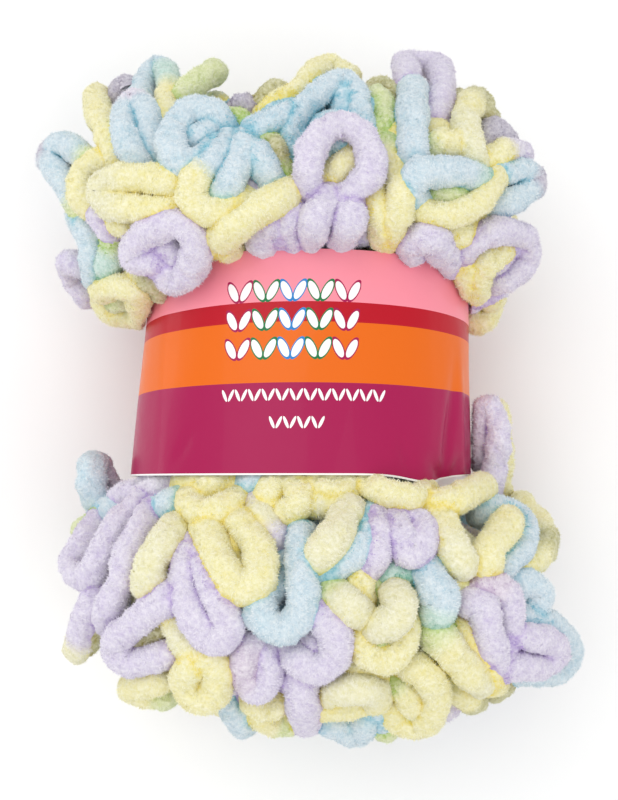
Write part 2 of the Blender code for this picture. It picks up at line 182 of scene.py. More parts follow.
TOP_STRANDS = strand_rows("""
LLL 4.15: -47 45 -3, -43 45.5 -1, -39.5 43 -3
BBB 4.05: -37.5 77.5 -3, -33.5 79 -1, -29.5 81 -4
LLL 3.75: 61 46 -7, 58.5 44 -6, 56.5 41.5 -7
KGK 3.75: -58.5 29.5 -7, -56 30.5 -6, -53.5 31 -7
GGBBABBG 3.85: -65.5 52 -12, -68.5 56.5 -10, -72 63 -8, -75.5 69 -7, -78 74 -6, -75.5 76 -5, -70 75 -5,
  -65 71.5 -8
YYYY 4.15: -61.5 72 -7, -67.5 68 -4, -68.5 62.5 -3, -64.5 57.5 -7
YYYCCCYYY 4.25: -35 62 -5, -43 65.5 2, -52 66.5 4, -59.5 65.5 4, -62.5 62.5 3, -59.5 59 3, -51.5 57.5 3,
  -43 57 1, -35.5 59 -5
YYYY 4.15: -63.5 90.5 -6, -62.5 84.5 -5, -59.5 78 -4, -56.5 71.5 -7
AAA 3.65: -57 90.5 -12, -55 94 -9, -53 91 -12
BBBWBBB 4.15: -50 69.5 -4, -54 77 0, -55.5 84.5 1, -53 89 1, -49 86.5 -1, -47.5 80 -3, -45.5 72.5 -7
BBBMYYY 3.55: -50.5 89.5 -10, -49 96 -9, -45.5 100 -9, -42.5 96.5 -9, -42.5 90 -8, -43.5 83 -7,
  -44 80 -10
GGG 3.85: -38 91 -8, -33.5 95 -6, -29 98 -6
GYG 3.35: -11.5 86.5 -10, -9 88.5 -8, -5.5 90.5 -8
BBBBBBBB 4.35: -24.5 80.5 -7, -29.5 86 0, -35.5 86.5 3, -40 82.5 4, -41 76 4, -38.5 71 3, -33.5 71.5 1,
  -28 76 -5
BBYYYYY 4.45: -23.5 77 -6, -29.5 71 2, -34 65.5 3, -35 60.5 3, -31 56.5 3, -25 56.5 1, -19.5 59.5 -3
BBBM 4.35: -19 78 -6, -20.5 71.5 1, -23.5 65.5 2, -26.5 61 -1
YYYY 4.65: -28.5 47 -4, -22 52 3, -14 57.5 3, -5 62.5 -3
YYY 4.25: -34 53.5 -4, -29 48.5 -1, -23 45.5 -9
BBB 4.55: -19 75.5 -5, -14 70.5 -1, -11 65 -4
WW 4.05: -19 64 -6, -13.5 61 -6
BBB 4.15: -16 81 -4, -11 83.5 -2, -6 84.5 -4
AAA 3.75: -21.5 86 -14, -20 88 -12, -17.5 86.5 -14
GGG 3.35: -25 84 -9, -21.5 84.5 -8, -18.5 82 -9
KKK 4.05: -13.5 88 -13, -10 92.5 -10, -6 89 -12
YYYYYY 3.75: -12.5 85.5 -10, -8.5 89 -8, -3.5 92.5 -7, 1 97 -6, 6.5 99.5 -7, 11 97 -10
BBBBBBBB 3.75: -4.5 74.5 -8, -5 82 -4, -1 88 -2, 4 92.5 -1, 10 95 -1, 14 91.5 -2, 15.5 86 -4, 17 79 -8
GKG 3.85: -12.5 77 -7, -10 73 -4, -8 68 -6
LLLLLLLLLL 4: 0.5 62 -2, 0 69.5 4, 1 76 6, 5 80.5 7, 10 82 7, 15.5 80 7, 18.5 74.5 6, 18.5 68.5 5,
  14 63 2, 8.5 59.5 -3
LLL 4.55: 5.5 60.5 -2, 2.5 55.5 2, 0.5 49 -6
LLL 4.55: 13 61 -3, 12.5 55 2, 9.5 48.5 -8
LLL 4.35: -2.5 57.5 -5, -6.5 54 -1, -5 48.5 -8
WLLL 4.35: -14 46 -9, -13.5 50.5 -3, -10.5 53.5 -1, -8 48.5 -8
BBB 3.95: 4 75 -4, 8 76 -2, 12.5 78.5 -4
YYYY 4.15: 5 66 -4, 8.5 68.5 -2, 12.5 72.5 -2, 14.5 76 -5
KKK 3.65: 19 91 -14, 22 94 -12, 25 90.5 -14
GGG 3.95: 22 79 -8, 22.5 86.5 -7, 20 90.5 -11
LLLLLLL 4.05: 29.5 90.5 -12, 29.5 97 -9, 31.5 101 -8, 36.5 100.5 -8, 39.5 96 -7, 39.5 89.5 -7,
  37.5 83.5 -9
BBBBB 4.55: 31 92.5 -4, 31 86.5 0, 31 79.5 2, 31 73.5 1, 28.5 69 -6
CCCYKK 4.15: 50 71 -3, 48.5 75.5 1, 47 81.5 1, 47.5 86.5 -1, 51 89 -5, 53 84.5 -9
KK 3.35: 43 86 -12, 44.5 89.5 -10
AAA 3.75: 37.5 81.5 -10, 40 85 -10, 41 88 -13
GYYG 4.25: 36.5 74.5 -4, 41 76.5 -1, 45.5 75 -3, 48.5 71.5 -7
AAA 3.95: 53.5 76 -9, 55.5 81.5 -8, 58.5 78 -10
YYWL 4.05: 51.5 71 -5, 56 73.5 -2, 60.5 74.5 -4, 62.5 74 -6
BBBABBB 3.95: 53.5 69 -6, 59 68.5 -4, 64 68.5 -4, 67 65.5 -4, 64.5 62 -4, 59.5 59 -4, 54.5 57.5 -7
BBBBBMB 4.35: 33.5 59 -4, 30.5 63.5 2, 32.5 67.5 4, 38.5 68.5 5, 44.5 68 4, 50 66 0, 53.5 65 -7
YYYYYY 3.65: 31 57 -4, 36.5 56 1, 43 55.5 4, 49 58 4, 53.5 62 2, 56 67 -4
GGG 3.55: 37 62 -3, 41.5 61.5 0, 46 62.5 -3
YYY 4.05: 39.5 52 -5, 44 50 -2, 50 52 -6
YYYY 3.85: 19.5 63.5 -4, 20 59 -1, 21.5 53.5 -1, 23 48 -9
GYYYY 4.15: 23.5 75.5 -6, 26 69 -2, 27.5 62 2, 26 55 1, 24.5 48 -8
LLLLL 4.65: 30.5 45 -8, 31 48 -2, 35.5 49 1, 40 45 -3, 42.5 41.5 -9
RLLLLLLL 4.15: 45.5 42.5 -7, 48.5 47 -2, 53 50 0, 59.5 50.5 -2, 65 47.5 -4, 65 43 -4, 61.5 38.5 -3,
  56.5 35.5 -4
YYYY 4.25: 58 45 -7, 53 41.5 -2, 50.5 37 -3, 50.5 32.5 -7
YYY 4.05: 46 41.5 -6, 47.5 37 -5, 49 33 -8
LL 3.45: 55.5 33 -9, 50 30 -8
YYYY 3.95: 53 32 -10, 54.5 27.5 -8, 52 23.5 -8, 48.5 24.5 -9
BBBB 4.15: -68.5 54.5 -13, -66 49 -8, -64.5 42.5 -7, -64 37 -9
GMM 3.95: -59 48.5 -6, -59.5 43 -6, -61 38 -8
LLL 3.85: -63.5 56.5 -7, -60.5 52 -4, -58.5 47.5 -7
YYY 3.75: -57.5 53.5 -4, -53.5 51.5 -2, -50 48.5 -6
ALLL 3.85: -66.5 39.5 -13, -70 41 -11, -70 36 -10, -67 31.5 -11
YYYYYYY 3.95: -62 32.5 -3, -57.5 34 1, -52.5 33.5 1, -50.5 29 -1, -53 25 -4, -57.5 26 -6, -61.5 29 -8
YKK 3.55: -51.5 36.5 -4, -47.5 36 -3, -44.5 32.5 -6
LLLLLLLLLL 4.45: -47 41.5 2, -52.5 43 2, -50 48.5 2, -44.5 52 3, -38.5 52.5 3, -34 48 2, -34 42.5 1,
  -36.5 38 0, -41 36 0, -44.5 40 0
""")

BOTTOM_STRANDS = strand_rows("""
YYY 3.75: -26 -39.5 -4, -22 -47 -1, -19.5 -52 -3
KKK 3.75: -53 -75 -5, -47.5 -71 -4, -43.5 -68 -5
YYY 3.75: -34 -87 -4, -32 -84 -2, -30.5 -80.5 -4
LLL 4.05: -0.5 -70 -4, 2 -72.5 -2, 2.5 -76 -4
YYYY 4.15: -39.5 -25 -2, -35.5 -28 0, -20.5 -28 0, -17.5 -30 -2
ARRLLLLL 3.65: 52 -18.5 -2, 51.5 -11.5 0, 51.5 -5 2, 53.5 -1.5 3, 56 -6 4, 56.5 -13.5 4, 55.5 -21 2,
  54.5 -27 -5
YYYY 3.35: 56.5 -3.5 -4, 58 -10.5 -4, 58 -18.5 -4, 57.5 -26.5 -6
BBBB 4.65: -65 -21 0, -65 -26 0, -62.5 -31 -2, -57.5 -34 -7
AA 3.15: -62 -20 -6, -58.5 -26.5 -6
GG 3.65: -67 -38.5 -9, -63.5 -36 -8
LLLLLLLLL 3.95: -64 -37 -6, -67.5 -43 -4, -71 -49 -4, -69 -53 -3, -65 -52 -1, -62 -45.5 1, -59 -39 2,
  -53.5 -33 1, -47.5 -29 -3
LLLLLL 4.25: -46.5 -33 -2, -50.5 -39 2, -54 -46.5 2, -56.5 -54 2, -59 -60.5 0, -60.5 -65.5 -4
LLLC 4.05: -63.5 -58 -6, -66 -63 -5, -68 -69 -5, -69.5 -74.5 -6
KKK 3.35: -63.5 -65 -10, -65 -69.5 -9, -66.5 -73 -10
LLLLLLLL 4.35: -41.5 -59 2, -47 -62.5 3, -53 -68 3, -57.5 -73.5 2, -55 -78 2, -49 -78 1, -43 -76 -1,
  -38 -75 -6
CCCC 4.85: -40.5 -39 1, -44.5 -44.5 4, -47.5 -50 4, -48 -54 3
WWLL 4.35: -40 -25 2, -45.5 -26 5, -50.5 -27 4, -55.5 -29.5 0
BBM 4.25: -46 -33 -3, -42.5 -32 1, -38.5 -29.5 0
LLLLLLLLLL 4.55: -35 -44.5 -2, -37 -51 1, -37 -59 3, -33.5 -66.5 4, -29 -71.5 4, -24.5 -69.5 4,
  -26 -62.5 4, -29 -55.5 3, -32 -48.5 0, -34.5 -44.5 -3
YYYYY 4.65: -37.5 -26 2, -33.5 -24.5 6, -29 -26 7, -25 -24.5 6, -20.5 -25 3
YYYY 4.65: -35.5 -30.5 2, -31.5 -34 4, -26 -33 4, -21.5 -30 2
YYYYYYYY 4.85: -30.5 -39 0, -28 -45 3, -25 -51.5 5, -20 -56.5 5, -15 -53.5 5, -14.5 -47 4, -17 -41 3,
  -21.5 -36.5 0
BBB 4.45: -19.5 -25 4, -16 -25 6, -11.5 -24 4
WCW 4.25: -15.5 -30.5 -1, -14 -35.5 2, -10.5 -41 -1
YYYYYY 4.55: -13 -32 1, -11.5 -27.5 5, -7.5 -24.5 6, -3.5 -27 6, -3 -31.5 4, -7 -34 1
YYYYY 4.25: -1.5 -26 4, 2.5 -25 8, 7 -26.5 8, 10.5 -25.5 6, 13 -26 3
CCC 4.35: -1 -30.5 1, 4.5 -31 3, 10 -30 2
BBBBBBBBB 4.45: -2.5 -40.5 0, -2.5 -48 2, -2 -56.5 4, -2.5 -63.5 4, -7.5 -69 4, -14 -65 4, -14 -60 2,
  -9.5 -54.5 -2, -7.5 -48 -5
CCCC 5.25: 11 -34 2, 9 -39 5, 5.5 -44 6, 4 -46.5 5
BBBB 4.15: 18.5 -34 -2, 16.5 -41.5 2, 11.5 -47.5 3, 4.5 -51.5 0
LLLL 4.15: 19.5 -35 -1, 21 -41.5 3, 20 -48 2, 16.5 -51 -3
LLLLLL 4.35: 26.5 -36 0, 28 -42 4, 30.5 -46.5 4, 33.5 -44 4, 33.5 -39 3, 30.5 -35.5 0
YYYYY 3.95: 16 -25 4, 20 -26.5 8, 25.5 -28.5 8, 30.5 -29.5 7, 34.5 -28 3
YYYY 4.35: 36.5 -31 4, 41.5 -30.5 7, 47 -28.5 8, 51.5 -26.5 6
YYCC 4.85: 38 -33 0, 41 -39 3, 43.5 -45 4, 45.5 -48.5 3
YYYYY 4.75: 59.5 -37 2, 57 -41 3, 54 -44.5 3, 52.5 -50 1, 53 -54 -4
BBBBBBB 3.95: 52 -34 -4, 57.5 -32.5 -2, 62 -34 -2, 64.5 -39 -2, 63.5 -44.5 -2, 59.5 -48.5 -2, 56 -53 -5
YYKYY 4.05: 64 -32 -9, 68.5 -37 -8, 71 -43 -8, 68 -47.5 -8, 62.5 -51 -8
BBBB 4.15: 62 -55 -6, 66.5 -55 -5, 69.5 -58 -5, 67.5 -62 -7
RLLLL 4.45: 47.5 -60 -1, 52 -62 3, 53.5 -68.5 4, 55 -75 3, 57.5 -80.5 -1
RRLLL 4.15: 49.5 -57 -1, 55.5 -56 2, 59.5 -59 2, 60.5 -66 1, 59.5 -72.5 -2
LLLLLLLL 4.15: 59.5 -69.5 -1, 65.5 -71 1, 71 -72 1, 74 -76 1, 71 -79 2, 65 -80 3, 59 -79 2, 55 -75.5 -1
BBBBBBB 4.05: 62.5 -65 -6, 70.5 -67 -7, 76 -71 -8, 78 -76.5 -8, 75 -80.5 -8, 68.5 -81.5 -8, 61.5 -82 -8
BBBM 5.15: 35.5 -52 0, 37.5 -56 3, 39.5 -60 3, 38.5 -63.5 2
MMM 3.95: 28 -53.5 -4, 32 -58 -5, 34.5 -65 -6
MMM 3.75: 22.5 -52 -3, 28 -53 -2, 32.5 -51.5 -4
GYYC 5.05: 38.5 -70 0, 42.5 -75.5 3, 47 -80 3, 51 -83.5 1
YYYY 4.35: 45.5 -69.5 -3, 50 -74 0, 53.5 -79.5 1, 55 -84 -2
KKK 3.65: 55.5 -84 -9, 59 -85 -9, 56.5 -86.5 -11
KKG 4.15: 35.5 -69.5 -7, 38.5 -74.5 -6, 41.5 -79 -7
YYYYYYY 4.55: 28 -78.5 -3, 34 -81.5 2, 38 -87 3, 37 -92.5 2, 32 -96.5 -1, 26.5 -95.5 -3, 25 -90.5 -6
GYYG 3.95: 26.5 -85 -3, 29 -87.5 -1, 30.5 -90.5 -1, 31.5 -92.5 -4
LLL 3.45: 38.5 -93 -12, 41 -93 -11, 43 -90.5 -12
YYK 4.05: 44 -86.5 -7, 47 -89 -7, 49 -89.5 -8
GCCC 4.75: 7 -57.5 0, 10 -60 3, 13 -62.5 4, 15 -64 2
YYY 3.55: 15 -51.5 -2, 15.5 -55.5 0, 16.5 -59.5 -2
MGG 3.75: 19.5 -51.5 -5, 20 -56.5 -4, 20.5 -60.5 -7
CCCCC 4.65: 26.5 -59 2, 27.5 -62 5, 26.5 -65 6, 23.5 -67 5, 20 -68 2
YYYYYY 3.85: 29 -67 0, 29 -72.5 3, 26 -76.5 4, 21 -78 4, 16.5 -75.5 3, 14.5 -71 0
YGY 3.15: 17 -73 0, 21.5 -73 1, 25 -72.5 0
LLLLLLL 4.45: 2 -62 0, 6.5 -67 3, 8.5 -73.5 4, 6.5 -79 4, 2 -80.5 3, -3 -78 1, -5.5 -74 -3
LLLL 4.95: -2.5 -83 -2, -2 -89 1, -1.5 -93 -2, -1 -95.5 -5
LRRLLL 4.15: -16 -71.5 -3, -19 -77 1, -19 -83 1, -15.5 -86.5 1, -12 -83 1, -12.5 -75 -3
YYGY 4.15: -16 -93.5 -9, -11.5 -96 -9, -7 -97 -9, -3.5 -95.5 -10
YYY 4.05: -16 -90.5 -5, -12.5 -92.5 -5, -8.5 -90.5 -6
BBBB 4.35: -26 -88 -9, -23.5 -91 -8, -21 -95 -9, -20 -96.5 -10
YYYYYYYY 4.65: -34 -78.5 1, -37 -83 2, -35.5 -87.5 2, -31 -89 2, -27.5 -85 2, -27 -80.5 2,
  -30.5 -77.5 1, -33.5 -78 0
YYYYG 3.95: -44 -83.5 -3, -49 -85 -3, -53 -87 -5, -49 -88.5 -7, -44.5 -89 -9
YCY 4.35: -41 -65 -3, -38.5 -71 -1, -34.5 -75.5 -1
BBBB 4.35: 6.5 -96.5 -7, 10 -98.5 -6, 14 -99.5 -6, 17 -95 -6
YCCCY 4.35: 7 -87.5 -1, 11 -86.5 3, 15.5 -86.5 4, 19 -87 3, 20 -89 0
YYY 4.05: 5 -92 -3, 10 -92 -3, 14.5 -90.5 -4
BBB 3.95: 19 -92.5 -6, 21.5 -93 -6, 22 -96 -9
GG 3.75: 20 -97 -9, 23 -98.5 -9
YYY 4.05: 12.5 -79 -3, 16 -81.5 -2, 20 -83 -4
GG 3.75: 25 -83.5 -8, 23.5 -89 -9
YG 3.75: 43.5 -54 -2, 47 -57.5 -3
""")


class HiddenRing(NamedTuple):
    """A ring of loops round a bunch, laid by rule."""

    height: float
    count: int
    root_share: float
    tip_share: float
    lean: float
    first_angle: float


HIDDEN_RINGS: tuple[HiddenRing, ...] = (
    HiddenRing(51.0, 12, 0.50, 0.66, 65.0, 0.0),
    HiddenRing(40.0, 13, 0.58, 0.75, 35.0, 14.0),
    HiddenRing(28.0, 13, 0.56, 0.79, 60.0, 22.0),
    HiddenRing(14.0, 12, 0.46, 0.75, 35.0, 0.0),
    HiddenRing(4.5, 8, 0.26, 0.56, 0.0, 16.0),
)
HIDDEN_DYES = ("YYYG", "LLLL", "BBBB", "YYLL", "LLWB", "BBBY", "CYYY", "LLLL", "MBBB", "YYYY", "LLRL")
WOUND_DYES = "YYLLBBLLYYCCBBLLMBYYLLWLBBYGYYLLBBLCYYLLBBMY"


class Notch(NamedTuple):
    """A dip in the outline, where hidden turns keep only a share of their length."""

    x: float
    y: float
    reach: float
    share: float


NOTCH = Notch(-20.0, 98.0, 11.0, 0.45)


def linear(colour: Colour) -> np.ndarray:
    """A display colour as linear light."""
    share = np.array(colour, float) / 255
    return np.where(share <= 0.04045, share / 12.92, ((share + 0.055) / 1.055) ** 2.4)


def opaque(colour: np.ndarray) -> tuple[float, ...]:
    """A linear colour with nothing seen through it, as a colour socket takes it."""
    return (*colour, 1)


def unit(vectors: np.ndarray) -> np.ndarray:
    """Vectors brought to length one along their last axis."""
    return vectors / np.maximum(np.linalg.norm(vectors, axis=-1, keepdims=True), 1e-9)


def eased(values: np.ndarray, low: float, high: float) -> np.ndarray:
    """Values eased from 0 at low to 1 at high."""
    share = np.clip((values - low) / (high - low), 0, 1)
    return share * share * (3 - 2 * share)


def dye_numbers(letters: str) -> np.ndarray:
    """Numbers of the dyes that letters stand for."""
    return np.array([DYES.index(Dye(letter)) for letter in letters])


def tube_faces(ring: np.ndarray, after: np.ndarray) -> np.ndarray:
    """Close the surface of a tube.

    Args:
        ring: Rows of vertex numbers, each running once round the tube.
        after: The row that follows each of them along the tube.

    Returns:
        Faces with four vertex numbers each.
    """
    corners = (ring, np.roll(ring, -1, axis=1), np.roll(after, -1, axis=1), after)
    return np.stack(corners, axis=-1).reshape(-1, 4)


def smooth_line(knots: np.ndarray, samples: int = 16) -> tuple[np.ndarray, np.ndarray]:
    """Lay a smooth line through knots.

    Args:
        knots: Places to pass through.
        samples: Places of the line for each knot.

    Returns:
        Places along the line, and for each of them how many knots it has passed.
    """
    gaps = np.linalg.norm(np.diff(knots, axis=0), axis=1)
    at = np.concatenate(([0.0], np.cumsum(gaps)))
    slopes = np.diff(knots, axis=0) / gaps[:, None]
    weight = (gaps[1:] / (gaps[1:] + gaps[:-1]))[:, None]
    ways = np.concatenate((slopes[:1], slopes[:-1] * weight + slopes[1:] * (1 - weight), slopes[-1:]))
    fine = np.linspace(0, at[-1], samples * len(knots))
    piece = np.clip(np.searchsorted(at, fine, side="right") - 1, 0, len(gaps) - 1)
    share = ((fine - at[piece]) / gaps[piece])[:, None]
    square, cube, gap = share**2, share**3, gaps[piece][:, None]
    line = (
        knots[piece] * (2 * cube - 3 * square + 1) + knots[piece + 1] * (3 * square - 2 * cube)
        + ways[piece] * gap * (cube - 2 * square + share) + ways[piece + 1] * gap * (cube - square)
    )
    return line, piece + share[:, 0]


@dataclass(frozen=True)
class Bunch:
    """One end of the skein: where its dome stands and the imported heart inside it."""

    x: float
    y: float
    reach_x: float
    reach_y: float
    core_x: float
    core_y: float
    core_z: float
    dome: float = 46.0
    core_height: float = 43.0

    def dome_height(self, x: float, y: float) -> float:
        """Height of the front surface over a place on the middle plane."""
        out = ((x - self.x) / self.reach_x) ** 2 + ((y - self.y) / self.reach_y) ** 2
        return MIDDLE_HEIGHT + self.dome * sqrt(max(0.0, 1 - out))

    def front_place(self, x: float, y: float, lift: float) -> np.ndarray:
        """A place of the front, carried along the line of sight to its height.

        Args:
            x: Place to the right, on a plane square to the line of sight.
            y: Place along the skein, on the same plane.
            lift: Height above the dome, or below it if negative.

        Returns:
            The place in the skein's own space.
        """
        spread = 1 / (1 - y * EYE_SETBACK / SIGHT_LENGTH / EYE_DISTANCE)
        x, y = x * spread, (EYE_SETBACK + y * EYE_DISTANCE / SIGHT_LENGTH) * spread - EYE_SETBACK
        height = self.dome_height(x, y) + lift
        share = (height - MIDDLE_HEIGHT) / EYE_DISTANCE
        return np.array((x * (1 - share), y - share * (y + EYE_SETBACK), height))

    def heart_middle(self) -> np.ndarray:
        """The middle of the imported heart."""
        return np.array((self.x, self.y, self.core_height))

    def heart_size(self, sunk: float) -> tuple[float, float, float]:
        """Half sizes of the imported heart, drawn in all round."""
        return (self.core_x - sunk, self.core_y - sunk, self.core_z - sunk)

    def core_level(self, places: np.ndarray) -> np.ndarray:
        """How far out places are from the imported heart, whose skin is at 1."""
        return np.linalg.norm((places - self.heart_middle()) / self.heart_size(0.0), axis=-1)


TOP_BUNCH = Bunch(-3.0, 62.0, 82.0, 44.0, 59.0, 29.0, 45.0)
BOTTOM_BUNCH = Bunch(2.0, -61.0, 83.0, 45.0, 62.0, 31.0, 45.0)


@dataclass(frozen=True)
class BandEdge:
    """Middle and half sizes of the band's inner face at one of its edges."""

    y: float
    middle_x: float
    half_width: float
    half_depth: float


@dataclass(frozen=True)
class BandForm:
    """The tapering ring that the paper follows round the waist, and the room it takes."""

    bottom: BandEdge = BandEdge(-22.8, -2.6, 50.0, 38.0)
    top: BandEdge = BandEdge(39.5, 0.2, 47.0, 36.5)
    thickness: float = 1.0
    side_dip: float = 4.0
    dip_rise: float = 1.3
    inside_level: float = 1.02
    room_inside: float = 0.5
    room_outside: float = 0.25
    room_beside: float = 0.4

    @property
    def height(self) -> float:
        """Height of the paper from edge to edge."""
        return self.top.y - self.bottom.y

    def section(self, share: np.ndarray) -> tuple[np.ndarray, np.ndarray, np.ndarray]:
        """Measure the inner face.

        Args:
            share: Shares of the height from the bottom edge.

        Returns:
            Its middle, half width and half depth at each of them.
        """
        low, high = self.bottom, self.top
        return (
            low.middle_x + share * (high.middle_x - low.middle_x),
            low.half_width + share * (high.half_width - low.half_width),
            low.half_depth + share * (high.half_depth - low.half_depth),
        )

    def share_at(self, y: np.ndarray) -> np.ndarray:
        """Shares of the height from the bottom edge at places along the skein."""
        return np.clip((y - self.bottom.y) / self.height, 0, 1)

    def place(self, angle: np.ndarray, share: np.ndarray, out: np.ndarray) -> np.ndarray:
        """Places on the ring.

        Args:
            angle: Angles round the ring, a quarter turn being its front.
            share: Shares of the height from the bottom edge.
            out: Distances outwards from the inner face.

        Returns:
            The places, with x, y and z along the last axis.
        """
        middle, half_width, half_depth = self.section(share)
        dip = self.side_dip * np.clip(share * self.dip_rise, 0, 1) * (1 - np.abs(np.sin(angle)))
        x = middle + (half_width + out) * np.cos(angle)
        y = self.bottom.y + share * self.height - dip
        z = MIDDLE_HEIGHT + (half_depth + out) * np.sin(angle)
        return np.stack(np.broadcast_arrays(x, y, z), axis=-1)

    def across(self, places: np.ndarray) -> np.ndarray:
        """Find how far out places are from the ring's axis.

        Args:
            places: Places in the skein's own space.

        Returns:
            Their levels, the inner face being at 1.
        """
        middle, half_width, half_depth = self.section(self.share_at(places[..., 1]))
        wide = (places[..., 0] - middle) / half_width
        high = (places[..., 2] - MIDDLE_HEIGHT) / half_depth
        return np.sqrt(wide**2 + high**2)

    def beside(self, places: np.ndarray, margin: float) -> np.ndarray:
        """Whether places are level with the paper, give or take a margin."""
        y = places[..., 1]
        return (y > self.bottom.y - margin - self.side_dip / 4) & (y < self.top.y + margin)

    def make_way(self, places: np.ndarray, middles: np.ndarray) -> np.ndarray:
        """Press places of strands flat against the paper, on the side of their own middles.

        Args:
            places: Places on the skins of strands.
            middles: The place on the strand's middle line that each belongs to.

        Returns:
            The places, moved to the inside or outside of the paper.
        """
        level = self.across(places)
        inner = 1 - self.room_inside / self.bottom.half_depth
        outer = 1 + (self.thickness + self.room_outside) / self.top.half_depth
        inside = self.across(middles) < self.inside_level
        wanted = np.where(inside, np.minimum(level, inner), np.maximum(level, outer))
        scale = np.where(self.beside(places, self.room_beside), wanted / np.maximum(level, 1e-6), 1.0)
        middle, _, _ = self.section(self.share_at(places[..., 1]))
        axis = np.stack((middle, places[..., 1], np.full_like(middle, MIDDLE_HEIGHT)), axis=-1)
        return axis + (places - axis) * scale[..., None]


BAND = BandForm()


class Course(NamedTuple):
    """How one strand runs: its middle line, with what is known at each step of it."""

    line: np.ndarray
    upright: np.ndarray
    radius: np.ndarray
    first_dye: np.ndarray
    second_dye: np.ndarray
    dye_share: np.ndarray
    sides: int
    phase: float
    closed: bool

    def heading(self) -> np.ndarray:
        """Find which way the strand runs.

        Returns:
            Its direction at each step.
        """
        if self.closed:
            return unit(np.roll(self.line, -1, axis=0) - np.roll(self.line, 1, axis=0))
        return unit(np.gradient(self.line, axis=0))

    def quads(self) -> np.ndarray:
        """Close the skin round the middle line.

        Returns:
            Its faces, which run on to the first step where the strand is closed.
        """
        ring = np.arange(len(self.line) * self.sides).reshape(-1, self.sides)
        if self.closed:
            return tube_faces(ring, np.roll(ring, -1, axis=0))
        return tube_faces(ring[:-1], ring[1:])


@dataclass(frozen=True)
class Strand:
    """A strand of the front that comes out of the skein, winds over it and dips back."""

    row: StrandRow
    bunch: Bunch
    phase: float
    dive: float = 10.0
    spacing: float = 0.9
    fewest_steps: int = 8
    sides: int = 18
    first_side: tuple[float, float, float] = (1.0, 0.3, 0.1)

    def knots(self) -> np.ndarray:
        """Carry the row's places to the front.

        Returns:
            The strand's places in space, with one more at each end below the surface.
        """
        first, last = self.row.places[0], self.row.places[-1]
        places = [(*first[:2], first[2] - self.dive), *self.row.places, (*last[:2], last[2] - self.dive)]
        return np.array([self.bunch.front_place(*place) for place in places])

    def course(self) -> Course:
        """Lay a smooth line through the knots and step along it evenly.

        Returns:
            The strand's course, rounded off at both ends.
        """
        line, passed = smooth_line(self.knots())
        run = np.concatenate(([0.0], np.cumsum(np.linalg.norm(np.diff(line, axis=0), axis=1))))
        steps = np.linspace(0, run[-1], max(self.fewest_steps, int(run[-1] / self.spacing)))
        line = np.stack([np.interp(steps, run, line[:, axis]) for axis in range(3)], axis=-1)
        key = np.interp(steps, run, passed)
        piece = np.clip(key.astype(int), 0, len(self.row.places))
        dyes = dye_numbers(self.row.dyes[0] + self.row.dyes + self.row.dyes[-1])
        to_end = np.minimum(steps, run[-1] - steps) / self.row.radius
        rounded = np.sqrt(np.clip(to_end * (2 - to_end), 0.01, 1) * (to_end < 1) + (to_end >= 1))
        return Course(line, self.uprights(line), self.row.radius * rounded, dyes[piece], dyes[piece + 1],
                      eased(key - piece, *DYE_CHANGE), self.sides, self.phase, closed=False)

    def uprights(self, line: np.ndarray) -> np.ndarray:
        """Carry a direction along a line without twist.

        Args:
            line: Places along the line.

        Returns:
            A direction square to the line at each of them.
        """
        current = np.array(self.first_side)
        carried = []
        for way in unit(np.gradient(line, axis=0)):
            current = unit(current - way * (way @ current))
            carried.append(current)
        return np.array(carried)


@dataclass(frozen=True)
class Turn:
    """One closed turn of strand, from its root round its tip and back."""

    root: np.ndarray
    tip: np.ndarray
    lean: float
    dyes: str
    phase: float
    breadth: float = 10.0
    radius: float = 4.6
    steps: int = 32
    sides: int = 12
    pinch: float = 0.45
    fullness: float = 1.2
    wander: float = 0.7

    def course(self) -> Course:
        """Lay the turn out step by step.

        Returns:
            Its course, with a dye at its root, at each side and at its tip.
        """
        way = 2 * pi * np.arange(self.steps) / self.steps
        reached = (1 - np.cos(way)) / 2
        ahead = unit(self.tip - self.root)
        level = unit(np.cross(UP, ahead))
        side = level * cos(self.lean) + np.cross(ahead, level) * sin(self.lean)
        upright = np.cross(ahead, side)
        full = self.fullness * (self.pinch + (1 - self.pinch) * reached)
        line = self.root + reached[:, None] * (self.tip - self.root)
        line = line + side * (np.sin(way) * full * self.breadth / 2)[:, None]
        line = line + upright * (self.wander * np.sin(2 * way + self.phase) * reached)[:, None]
        dyes = dye_numbers(self.dyes)
        passed = len(dyes) * np.arange(self.steps) / self.steps
        key = passed.astype(int) % len(dyes)
        return Course(line, np.tile(upright, (self.steps, 1)), np.full(self.steps, self.radius), dyes[key],
                      dyes[(key + 1) % len(dyes)], eased(passed - key, *DYE_CHANGE), self.sides, self.phase,
                      closed=True)


